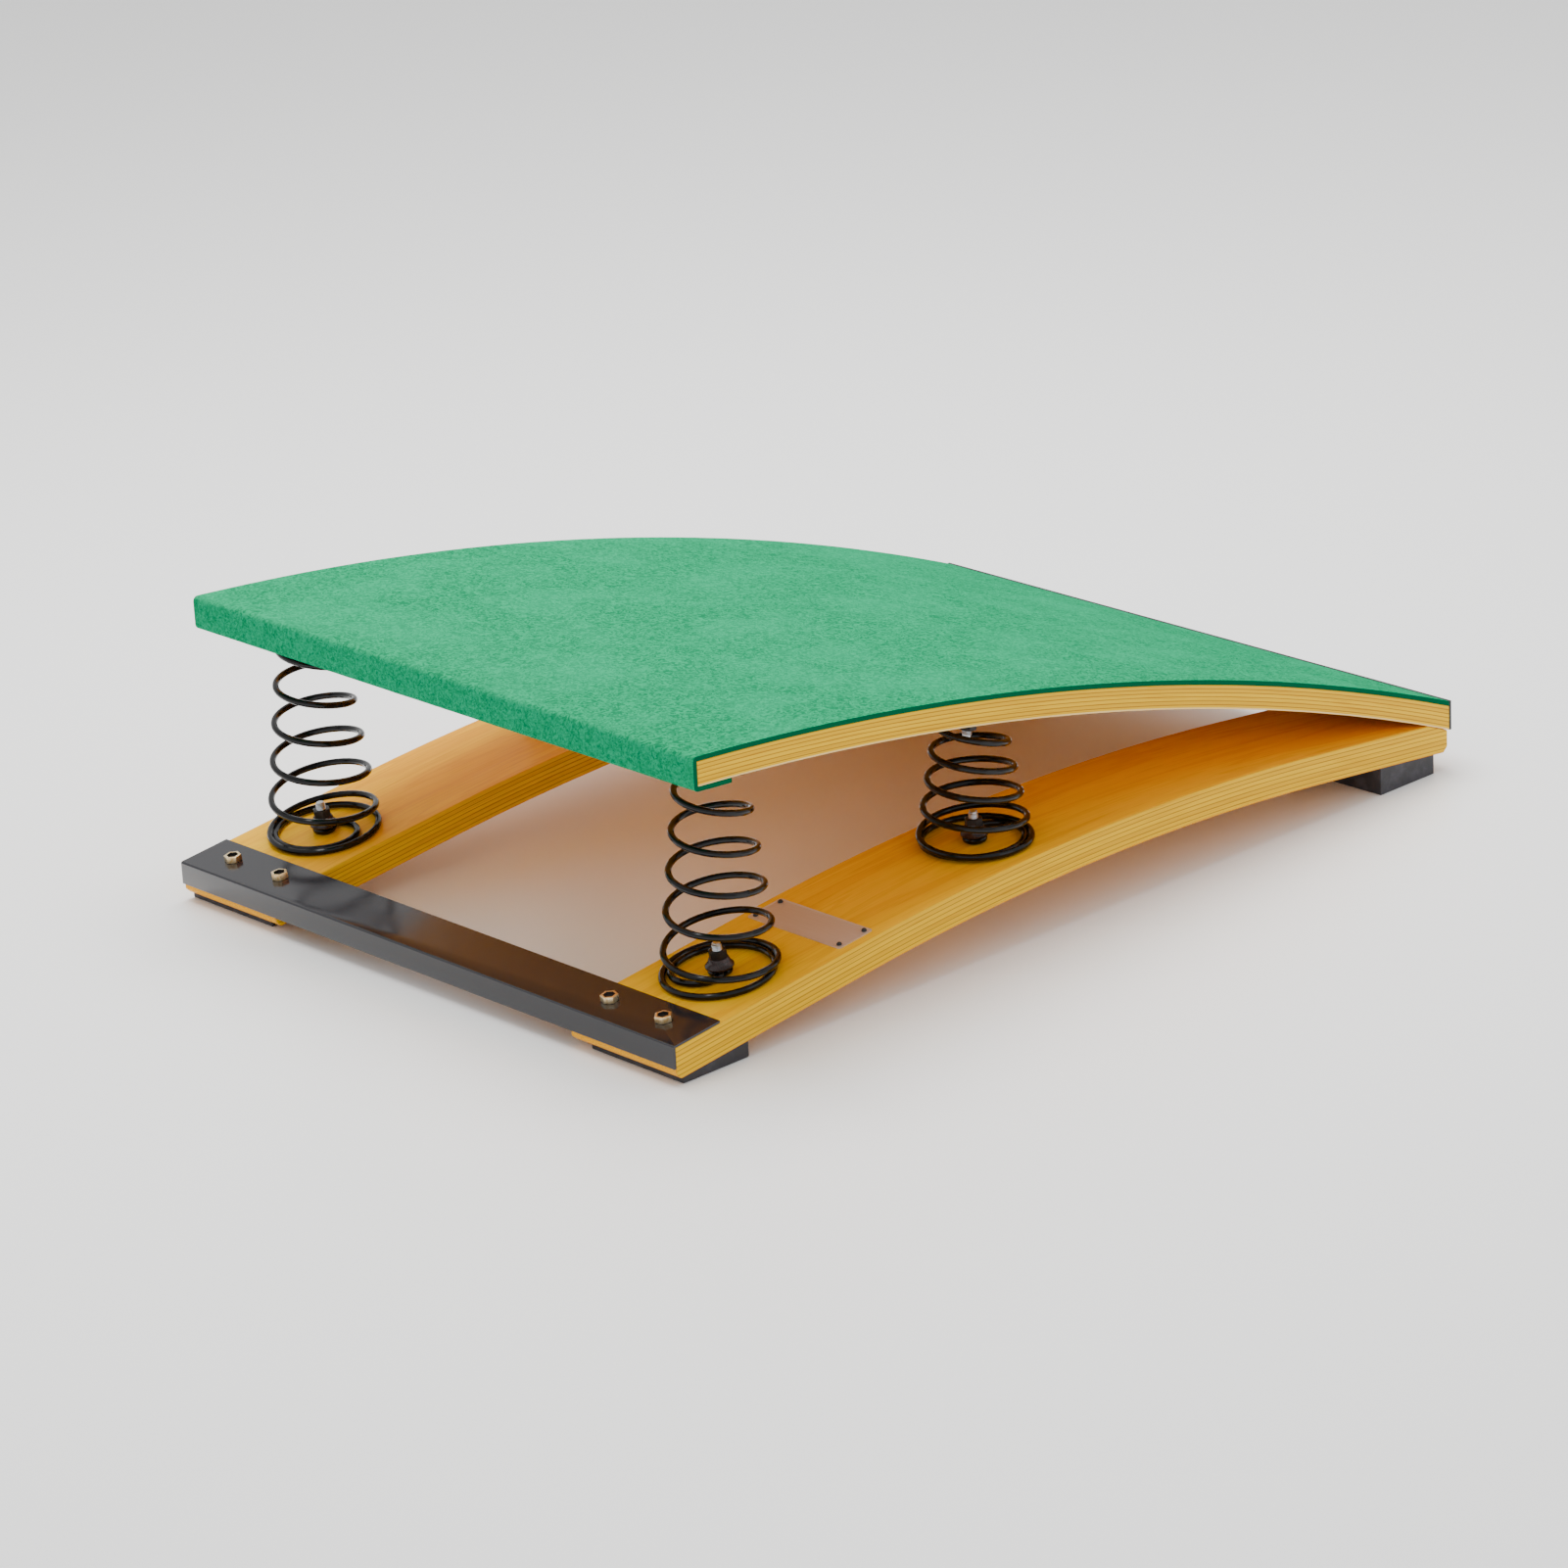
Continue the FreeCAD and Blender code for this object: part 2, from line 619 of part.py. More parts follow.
def make_deck():
    """The bent deck, drilled for the spring bolts and counterbored for the rear bolts."""
    tools = []
    for sign in SIDES.values():
        for spring, x in SPRING_X.items():
            tag = f"deck_{spring}_{sign + 1}"
            place = tilted(x, sign * RAIL_Y, deck_under(x), deck_slope(x))
            tools.append(cylinder(tag + "_hole", "sizes.bolt_hole", "60", shifted(place, -20)))
            head_seat = size("ply_thickness") - size("deck_head_depth")
            tools.append(cylinder(tag + "_recess", "sizes.counterbore", "20", shifted(place, head_seat)))
        for n, y in enumerate(REAR_BOLT_OFFSETS):
            tag = f"deck_rear_{sign + 1}_{n}"
            centre = sign * RAIL_Y + y
            tools.append(cylinder(tag + "_hole", "sizes.rear_hole", "60", rear_bolt_place(centre, -20)))
            floor = size("ply_thickness") - size("rear_counterbore_depth")
            tools.append(cylinder(tag + "_recess", "sizes.rear_counterbore", "40",
                                  rear_bolt_place(centre, floor)))
    keep("deck_board", cut("deck_board", deck_blank(), tools))


def make_carpet():
    """One piece of carpet over the deck, round its front edge and back under it."""
    body = doc.addObject("PartDesign::Body", "carpet")
    sketch = new_sketch(body, "carpet_side")
    gap, thick = size("glue_gap"), size("carpet_thickness")
    outer = size("deck_bend_radius")
    inner = outer - thick + gap
    under_in = outer - thick - size("ply_thickness") - gap
    under_out = under_in - thick + gap
    centre = (size("deck_bend_x"), -size("deck_bend_depth"))
    front_out = -size("deck_front") - thick
    front_in = -size("deck_front") - gap
    rear = size("deck_rear")
    end = front_out + size("carpet_return")
    sketch.addGeometry([
        arc(centre, outer, (rear, deck_arc_z(rear, outer)), (front_out, deck_arc_z(front_out, outer))),
        line((front_out, deck_arc_z(front_out, outer)), (front_out, deck_arc_z(front_out, under_out))),
        arc(centre, under_out, (end, deck_arc_z(end, under_out)),
            (front_out, deck_arc_z(front_out, under_out))),
        line((end, deck_arc_z(end, under_out)), (end, deck_arc_z(end, under_in))),
        arc(centre, under_in, (end, deck_arc_z(end, under_in)),
            (front_in, deck_arc_z(front_in, under_in))),
        line((front_in, deck_arc_z(front_in, under_in)), (front_in, deck_arc_z(front_in, inner))),
        arc(centre, inner, (rear, deck_arc_z(rear, inner)), (front_in, deck_arc_z(front_in, inner))),
        line((rear, deck_arc_z(rear, inner)), (rear, deck_arc_z(rear, outer)))], False)
    for refs in ((0, 2, 1, 1), (1, 2, 2, 2), (2, 1, 3, 1), (3, 2, 4, 1), (4, 2, 5, 1), (5, 2, 6, 2),
                 (6, 1, 7, 1), (7, 2, 0, 1), (0, 3, 2, 3), (0, 3, 4, 3), (0, 3, 6, 3)):
        fix(sketch, "Coincident", *refs)
    for index in (1, 3, 5, 7):
        fix(sketch, "Vertical", index)
    bind_bend_centre(sketch, 0)
    bind(sketch, "Radius", 0, value=outer, formula="sizes.deck_bend_radius")
    bind(sketch, "Radius", 6, value=inner,
         formula="sizes.deck_bend_radius - sizes.carpet_thickness + sizes.glue_gap")
    ply = "sizes.deck_bend_radius - sizes.carpet_thickness - sizes.ply_thickness"
    bind(sketch, "Radius", 4, value=under_in, formula=ply + " - sizes.glue_gap")
    bind(sketch, "Radius", 2, value=under_out, formula=ply + " - sizes.carpet_thickness")
    bind(sketch, "DistanceX", 1, 1, -1, 1, value=-front_out,
         formula="sizes.deck_front + sizes.carpet_thickness")
    bind(sketch, "DistanceX", 5, 1, -1, 1, value=-front_in, formula="sizes.deck_front + sizes.glue_gap")
    bind(sketch, "DistanceX", 1, 1, 3, 1, value=size("carpet_return"), formula="sizes.carpet_return")
    bind(sketch, "DistanceX", -1, 1, 7, 1, value=rear, formula="sizes.deck_rear")
    pad(body, sketch, "sizes.board_width", "carpet_pad")
    keep("carpet", body)


def make_edge_strip():
    """The black strip over the deck's rear end grain and the carpet's raw edge, with its screws."""
    rear = size("deck_rear")
    low = deck_under(rear)
    top = deck_height(rear, 0)
    box = doc.addObject("Part::Box", "rear_edge_strip_bar")
    box.setExpression("Length", "sizes.strip_thickness")
    box.setExpression("Width", "sizes.board_width")
    box.Height = top - low
    box.Placement = Placement(Vector(rear, -size("board_width") / 2, low), Rotation())
    holes, screws = [], []
    for n, y in enumerate(STRIP_SCREW_Y):
        middle = Placement(Vector(rear, y, (top + low) / 2), Rotation(Vector(0, 1, 0), 90))
        seat = shifted(middle, size("strip_thickness") - size("strip_screw_sink"))
        holes.append(cylinder(f"strip_hole{n}", "sizes.strip_screw_radius + 0.2", "10",
                              shifted(middle, -5)))
        holes.append(cone(f"strip_sink{n}", "sizes.strip_screw_radius + 0.2",
                          "sizes.strip_screw_head + 0.3", "sizes.strip_screw_sink", seat))
        head = cone(f"strip_screw{n}_head", "sizes.strip_screw_radius", "sizes.strip_screw_head",
                    "sizes.strip_screw_sink - 0.1", Placement())
        shank = cylinder(f"strip_screw{n}_shank", "sizes.strip_screw_radius", "sizes.strip_screw_length",
                         Placement(Vector(0, 0, -size("strip_screw_length")), Rotation()))
        screw = fused(f"strip_screw{n}", [head, shank])
        screw.Placement = seat
        screws.append(screw)
    keep("rear_edge_strip", cut("rear_edge_strip", box, holes))
    group("edge_strip_screws", screws)


def make_rear_joint():
    """Bolts that hold the deck's rear end to the rails; rubber washers let the deck rock on them."""
    bolts, buffers, plates, nuts = [], [], [], []
    floor = size("ply_thickness") - size("rear_counterbore_depth") + size("buffer_gap")
    x = size("rear_bolt_x")
    lean = math.radians(-deck_slope(x) + rail_slope(x))
    nut_face = -size("rail_thickness") / math.cos(lean) - REAR_NUT_CLEARANCE
    for sign in SIDES.values():
        for n, offset in enumerate(REAR_BOLT_OFFSETS):
            tag = f"{sign + 1}_{n}"
            y = sign * RAIL_Y + offset
            buffers.append(washer("rear_buffer" + tag, "sizes.buffer_radius", "sizes.buffer_thickness",
                                  rear_bolt_place(y, floor)))
            above = floor + size("buffer_thickness")
            plates.append(washer("rear_washer" + tag, "sizes.rear_washer_radius",
                                 "sizes.washer_thickness", rear_bolt_place(y, above)))
            seat = rear_bolt_place(y, above + size("washer_thickness"))
            bolts.append(bolt("rear_bolt" + tag, REAR_BOLT_LENGTH, seat))
            nuts.append(nut("rear_nut" + tag, turned_over(rear_bolt_place(y, nut_face))))
    group("rear_joint_bolts", bolts)
    group("rear_joint_rubber_washers", buffers)
    group("rear_joint_steel_washers", plates)
    group("rear_joint_nuts", nuts)


# ---------------------------------------------------------------- springs

def eased(t):
    return t * t * (3 - 2 * t)


def coil_rise(turn, turns, ramp):
    """Share of the height climbed after that many turns: the pitch eases in and out over `ramp`."""
    full = turns - ramp
    if turn < ramp:
        return turn * turn / (2 * ramp) / full
    if turn > turns - ramp:
        left = turns - turn
        return 1 - left * left / (2 * ramp) / full
    return (turn - ramp / 2) / full


EYE_RADIUS = 7.3
BASE_RINGS = (39.8, 45.5)
TOP_RADIUS = 25.0
EYE_TURN, SPIRAL_TURN, RING_TURN = 300.0, 150.0, 360.0
PITCH_RAMP = 0.6
STEP_DEGREES = 20
SPRINGS = {
    "front_left": (6.1, 205.0), "front_right": (6.1, 330.0),
    "middle_left": (5.5, 60.0), "middle_right": (5.5, 200.0),
}


def spring_line(x, y, turns, phase):
    """Centre line of one conical spring: an eye round each bolt, a flat end ring and the coil.

    The coil leans from the rail's slope to the deck's, and its ends are centred on the bolts, which
    stand square to the rail and to the deck.
    """
    clear = size("wire_radius") + size("eye_gap")
    low, high = rail_top(x) + clear, deck_under(x) - clear
    tilts = (math.tan(math.radians(rail_slope(x))), math.tan(math.radians(deck_slope(x))))
    coil = turns * 360.0
    spans = [EYE_TURN, SPIRAL_TURN, RING_TURN, coil, EYE_TURN, SPIRAL_TURN, EYE_TURN]
    total = sum(spans)
    points = []
    steps = int(total / STEP_DEGREES)
    for step in range(steps + 1):
        angle = total * step / steps
        at, part = angle, 0
        while part < len(spans) - 1 and at > spans[part]:
            at -= spans[part]
            part += 1
        t = at / spans[part]
        climbed = 0.0 if part < 3 else 1.0
        if part == 3:
            climbed = coil_rise(at / 360.0, turns, PITCH_RAMP)
        radius = (EYE_RADIUS, EYE_RADIUS + (BASE_RINGS[0] - EYE_RADIUS) * eased(t),
                  BASE_RINGS[0] + (BASE_RINGS[1] - BASE_RINGS[0]) * eased(t),
                  BASE_RINGS[1] + (TOP_RADIUS - BASE_RINGS[1]) * climbed, TOP_RADIUS,
                  TOP_RADIUS + (EYE_RADIUS - TOP_RADIUS) * eased(t), EYE_RADIUS)[part]
        turned = math.radians(phase - angle)
        off_axis = clear * (tilts[1] * climbed - tilts[0] * (1 - climbed))
        dx, dy = off_axis + radius * math.cos(turned), radius * math.sin(turned)
        lean = tilts[0] + (tilts[1] - tilts[0]) * climbed
        points.append(Vector(x + dx, y + dy, low + (high - low) * climbed + lean * dx))
    return points


MITRED = 1


def make_springs():
    """Conical compression springs, wound left-handed, swept in short mitred runs along their centre lines."""
    for name, (turns, phase) in SPRINGS.items():
        end, side = name.split("_")
        points = spring_line(SPRING_X[end], SIDES[side] * RAIL_Y, turns, phase)
        spine = Part.makePolygon(points)
        section = Part.Wire([Part.makeCircle(size("wire_radius"), points[0], points[1] - points[0])])
        solid = spine.makePipeShell([section], True, False, MITRED)
        area = math.pi * size("wire_radius") ** 2
        assert abs(solid.Volume / (area * spine.Length) - 1) < 0.01, name
        node = f"spring_{name}"
        obj = doc.addObject("Part::Feature", node)
        obj.Shape = solid
        obj.Placement = Placement()
        keep(node, obj)


def spring_places():
    return [(x, sign * RAIL_Y, f"{end}_{side}") for end, x in SPRING_X.items()
            for side, sign in SIDES.items()]


def clamp_cup(name, placement):
    """A moulded cone that clamps the wire's eye to the board."""
    outside = cone(name + "_cone", "sizes.cup_radius", "sizes.cup_top_radius", "sizes.cup_height",
                   Placement())
    bore = cylinder(name + "_bore", "sizes.bolt_radius + 0.1", "sizes.cup_height", Placement())
    whole = cut(name, outside, [bore])
    whole.Placement = placement
    return whole


def eye_height():
    """Height of the wire's eye above the board it is clamped to."""
    return 2 * size("wire_radius") + 2 * size("eye_gap")


def make_spring_clamps():
    """At each end of each spring: a bolt, a cup over the wire's eye, and a nut."""
    base_bolts, base_cups, base_nuts = [], [], []
    top_bolts, top_cups, top_nuts = [], [], []
    for x, y, name in spring_places():
        top = rail_bolt_place(x, y, 0)
        recess = rail_bolt_place(x, y, size("base_head_depth") - size("rail_thickness"))
        stack = eye_height() + size("cup_height")
        beyond = stack + size("nut_height") + size("thread_end")
        length = size("rail_thickness") - size("base_head_depth") + beyond
        base_bolts.append(bolt(f"base_bolt_{name}", length, turned_over(recess)))
        base_cups.append(clamp_cup(f"base_cup_{name}", shifted(top, eye_height())))
        base_nuts.append(nut(f"base_nut_{name}", shifted(top, stack)))
        under = tilted(x, y, deck_under(x), deck_slope(x))
        down = turned_over(under)
        top_cups.append(clamp_cup(f"top_cup_{name}", shifted(down, eye_height())))
        top_nuts.append(nut(f"top_nut_{name}", shifted(down, stack)))
        head_seat = size("ply_thickness") - size("deck_head_depth")
        top_bolts.append(deck_bolt(f"top_bolt_{name}", head_seat + beyond, shifted(under, head_seat)))
    group("spring_base_bolts", base_bolts)
    group("spring_base_cups", base_cups)
    group("spring_base_nuts", base_nuts)
    group("spring_top_bolts", top_bolts)
    group("spring_top_cups", top_cups)
    group("spring_top_nuts", top_nuts)


def deck_bolt(name, length, placement):
    """A low flat-headed bolt let into the deck under the carpet."""
    head = cylinder(name + "_head", "sizes.deck_head_radius", "sizes.deck_head_height", Placement())
    shank = cylinder(name + "_shank", "sizes.bolt_radius", str(length),
                     Placement(Vector(0, 0, -length), Rotation()))
    whole = fused(name, [head, shank])
    whole.Placement = placement
    return whole


# ---------------------------------------------------------------- label plate

def make_label_plate():
    """A blank metal plate pinned across the left rail between the two springs."""
    place = rail_bolt_place(PLATE_X, -RAIL_Y, 0)
    half_l, half_w = size("plate_length") / 2, size("plate_width") / 2
    inset = size("plate_pin_inset")
    box = doc.addObject("Part::Box", "label_plate")
    box.setExpression("Length", "sizes.plate_length")
    box.setExpression("Width", "sizes.plate_width")
    box.setExpression("Height", "sizes.plate_thickness")
    box.Placement = place.multiply(Placement(Vector(-half_l, -half_w, 0), Rotation()))
    pins, holes = [], []
    for sx in (-1, 1):
        for sy in (-1, 1):
            tag = f"{sx + 1}{sy + 1}"
            corner = Vector(sx * (half_l - inset), sy * (half_w - inset), 0)
            at = place.multiply(Placement(corner, Rotation()))
            holes.append(cylinder("plate_hole" + tag, "sizes.plate_pin_radius + 0.1", "6",
                                  shifted(at, -3)))
            head = doc.addObject("Part::Sphere", f"plate_pin{tag}_head")
            head.setExpression("Radius", "sizes.plate_pin_head")
            head.Angle1 = 0
            shank = cylinder(f"plate_pin{tag}_shank", "sizes.plate_pin_radius", "sizes.plate_pin_length",
                             Placement(Vector(0, 0, -size("plate_pin_length")), Rotation()))
            pin = fused("plate_pin" + tag, [head, shank])
            pin.Placement = shifted(at, size("plate_thickness"))
            pins.append(pin)
    keep("label_plate", cut("label_plate_drilled", box, holes))
    group("label_plate_pins", pins)


def check_and_export():
    doc.recompute()
    for obj in doc.Objects:
        bad = [word for word in obj.State if word in ("Invalid", "Error")]
        assert not bad, f"{obj.Name}: {obj.State}"
    os.makedirs("parts", exist_ok=True)
    for node, obj in PARTS.items():
        shape = obj.Shape
        assert not shape.isNull() and shape.isValid(), node
        shape.exportStep(os.path.join("parts", node + ".step"))
        print(f"{node}: {len(shape.Solids)} solid(s), {shape.Volume / 1000:.1f} cm3")


make_rails()
make_feet()
make_front_angle()
make_angle_bolts()
make_deck()
make_carpet()
make_edge_strip()
make_rear_joint()
make_springs()
make_spring_clamps()
make_label_plate()
check_and_export()
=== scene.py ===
# %% [markdown]
# # A gymnastics springboard
#
# A vaulting board is a bent plywood deck that stands on four conical springs. The springs stand on
# two bent plywood rails, a steel angle ties the rails together at the high end, and at the low end
# the deck is bolted to them through rubber washers. Everything is in metres: +X runs from the high
# front edge to the low rear edge, +Z is up, and the origin is on the floor under the board's middle.
#
# The first cell loads the finished frame. Its pieces never move here; the cells after it give them
# finishes, and put finer pieces where the frame holds only plain ones.

# %% Load the frame
import functools
import math

import bmesh
import bpy
from mathutils import Matrix, Vector, noise


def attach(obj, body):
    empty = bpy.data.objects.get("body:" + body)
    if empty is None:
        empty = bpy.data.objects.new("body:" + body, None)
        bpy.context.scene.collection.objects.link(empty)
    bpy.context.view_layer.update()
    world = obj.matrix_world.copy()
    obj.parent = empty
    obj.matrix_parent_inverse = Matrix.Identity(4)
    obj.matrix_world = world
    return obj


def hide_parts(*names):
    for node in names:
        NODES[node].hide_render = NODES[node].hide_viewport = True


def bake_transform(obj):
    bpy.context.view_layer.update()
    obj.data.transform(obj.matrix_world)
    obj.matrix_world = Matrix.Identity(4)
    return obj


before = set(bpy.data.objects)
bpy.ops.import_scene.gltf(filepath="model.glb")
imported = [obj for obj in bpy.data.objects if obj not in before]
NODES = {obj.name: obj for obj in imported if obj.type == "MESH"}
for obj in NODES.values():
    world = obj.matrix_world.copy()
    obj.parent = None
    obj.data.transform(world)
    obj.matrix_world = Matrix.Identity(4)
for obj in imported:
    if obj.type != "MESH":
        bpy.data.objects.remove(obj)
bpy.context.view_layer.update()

MM = 0.001

# %% [markdown]
# ## The two bends
#
# Both boards are glued up in a press, so each follows one large circle. The deck is bent over its
# whole length. A rail is straight at both ends and bent between them. The wood's layers follow
# these bends, and the springs start and end on them, so the bends are worked out once, here.

# %% The deck's and the rails' bends
CARPET = 4.0 * MM
DECK_PLY = 20.0 * MM
DECK_BEND = {"centre": (-577 * MM, -2461 * MM), "radius": 2720 * MM}
DECK_FRONT, DECK_REAR = -407.5 * MM, 444.5 * MM
HALF_WIDTH = 300 * MM

RAIL_PLY = 27.0 * MM
RAIL_ENDS = (-445 * MM, 442 * MM)
RAIL_END_HEIGHTS = (4.7 * MM, 15.0 * MM)
RAIL_SLOPES = (math.radians(6.8), math.radians(-6.0))
RAIL_RADIUS = 2425 * MM
RAIL_Y = 240 * MM


def rail_bend():
    """Centre of the rails' bend: both straight undersides are tangent to one circle."""
    (x0, x1), (z0, z1) = RAIL_ENDS, RAIL_END_HEIGHTS
    rise0, rise1 = math.tan(RAIL_SLOPES[0]), -math.tan(RAIL_SLOPES[1])
    apex = x0 + (z1 - z0 + rise1 * (x1 - x0)) / (rise0 + rise1)
    half_turn = (RAIL_SLOPES[0] - RAIL_SLOPES[1]) / 2
    back = RAIL_RADIUS * math.tan(half_turn)
    start = Vector((apex, z0 + rise0 * (apex - x0)))
    start -= back * Vector((math.cos(RAIL_SLOPES[0]), math.sin(RAIL_SLOPES[0])))
    return start + RAIL_RADIUS * Vector((math.sin(RAIL_SLOPES[0]), -math.cos(RAIL_SLOPES[0])))


RAIL_CENTRE = rail_bend()


def rail_slope(x):
    """Angle of the rail at x, positive where it climbs towards the rear."""
    free = math.asin(max(-1, min(1, (RAIL_CENTRE.x - x) / RAIL_RADIUS)))
    return max(RAIL_SLOPES[1], min(RAIL_SLOPES[0], free))


def rail_top(x):
    """Height of the rail's top at x."""
    angle = rail_slope(x)
    if angle == RAIL_SLOPES[0]:
        under = RAIL_END_HEIGHTS[0] + math.tan(angle) * (x - RAIL_ENDS[0])
    elif angle == RAIL_SLOPES[1]:
        under = RAIL_END_HEIGHTS[1] - math.tan(angle) * (RAIL_ENDS[1] - x)
    else:
        under = RAIL_CENTRE.y + RAIL_RADIUS * math.cos(angle)
    return under + RAIL_PLY / math.cos(angle)


def deck_slope(x):
    return -math.asin((x - DECK_BEND["centre"][0]) / DECK_BEND["radius"])


def deck_height(x, below):
    """Height of the deck at x, that far below the top of its carpet."""
    radius = DECK_BEND["radius"] - below
    across = x - DECK_BEND["centre"][0]
    return math.sqrt(radius ** 2 - across ** 2) + DECK_BEND["centre"][1]


print("rail bend centre, mm:", [round(c / MM, 1) for c in RAIL_CENTRE])

# %% [markdown]
# ## A small kit for finishes
#
# Each finish is a node material. One function turns a hex colour, as a paint card gives it, into
# the linear numbers that Blender computes with. One function adds a node, sets it up and links it.

# %% Colour and node helpers
def srgb(code):
    """A hex colour as linear red, green, blue and alpha."""
    parts = [int(code[i:i + 2], 16) / 255 for i in (0, 2, 4)]
    linear = [c / 12.92 if c <= 0.04045 else ((c + 0.055) / 1.055) ** 2.4 for c in parts]
    return (*linear, 1.0)


def add(material, kind, inputs=None, **settings):
    """Add one node. `settings` are its own properties; `inputs` gives sockets a value or a link."""
    node = material.node_tree.nodes.new("ShaderNode" + kind)
    for name, value in settings.items():
        setattr(node, name, value)
    free = [s for s in node.inputs if s.enabled]
    for key, value in (inputs or {}).items():
        socket = free[key] if isinstance(key, int) else next(s for s in free if s.name == key)
        if isinstance(value, bpy.types.Node):
            value = next(s for s in value.outputs if s.enabled)
        if isinstance(value, bpy.types.NodeSocket):
            material.node_tree.links.new(value, socket)
        else:
            socket.default_value = value
    return node


def finish_named(name, **surface):
    """A new material with its Principled surface; `surface` gives that shader's sockets."""
    material = bpy.data.materials.new(name)
    material.use_nodes = True
    material.node_tree.nodes.clear()
    shader = add(material, "BsdfPrincipled", surface)
    add(material, "OutputMaterial", {"Surface": shader})
    return material, shader


def connect(material, output, shader, socket):
    if isinstance(output, bpy.types.Node):
        output = next(s for s in output.outputs if s.enabled)
    material.node_tree.links.new(output, shader.inputs[socket])


def blend_colours(material, factor, low, high):
    """A colour that goes from low to high as the factor goes from 0 to 1."""
    return add(material, "Mix", {"Factor": factor, "A": low, "B": high}, data_type="RGBA")


def ramp(material, value, low, high, to_low=0.0, to_high=1.0):
    """The value's stretch from low to high, spread smoothly over to_low to to_high."""
    return add(material, "MapRange", {"Value": value, "From Min": low, "From Max": high,
                                      "To Min": to_low, "To Max": to_high},
               interpolation_type="SMOOTHSTEP")


def maths(material, operation, *values):
    return add(material, "Math", dict(enumerate(values)), operation=operation)


def mottle(material, coords, size, **settings):
    """Noise in the piece's own space, in patches of about that size."""
    return add(material, "TexNoise", {"Vector": coords.outputs["Object"], "Scale": 1 / size,
                                      **settings})


def bumpy(material, shader, height, strength, distance):
    """Let the height raise the surface by up to that distance."""
    bump = add(material, "Bump", {"Height": height, "Strength": strength, "Distance": distance})
    connect(material, bump, shader, "Normal")


def dress(piece, material):
    """Give a piece its finish, in place of any material it had."""
    if piece.data.materials:
        piece.data.materials.clear()
    piece.data.materials.append(material)


# %% [markdown]
# ## Bent plywood
#
# Both boards are beech plywood: thin veneers glued with their grain crossed, stained golden yellow
# and lacquered. The edge shows the veneers as lines that follow the bend, and the faces show
# grain that runs lengthwise. A flat pattern could not follow the bend, so the material works out how
# deep each point lies under the board's outer face: on a circle that is the radius less the
# distance from the centre, and on a straight end it is the same sum with the direction held still.
# Depth then picks the veneer, and the face's direction picks edge, face or end grain.

# %% Plywood finish
VENEER_LINE = 0.30 * MM
GRAIN_LENGTH = 55 * MM
GRAIN_WIDTH = 1.1 * MM       # wider than a real fleck, so that it shows from a few steps away
FIGURE_SIZE = (0.42, 0.028, 0.018)       # metres along the board, across it and into it
FIGURE_RINGS = 46.0          # how closely the soft rings of the figure follow each other
VENEER_WOBBLE = 0.9 * MM
PALE_VENEER = (1.5 * MM, 1.1 * MM)       # the lowest veneer, from the under face up


def depth_under(material, place, centre, radius, directions):
    """How far a point lies under the board's outer face, measured square to it."""
    xyz = add(material, "SeparateXYZ", {0: place})
    along = maths(material, "SUBTRACT", xyz.outputs["X"], centre[0])
    up = maths(material, "SUBTRACT", xyz.outputs["Z"], centre[1])
    free = maths(material, "ARCTAN2", along, up)
    angle = add(material, "Clamp", {"Value": free, "Min": directions[0], "Max": directions[1]})
    reach = maths(material, "ADD",
                  maths(material, "MULTIPLY", along, maths(material, "SINE", angle)),
                  maths(material, "MULTIPLY", up, maths(material, "COSINE", angle)))
    return maths(material, "SUBTRACT", radius, reach), xyz


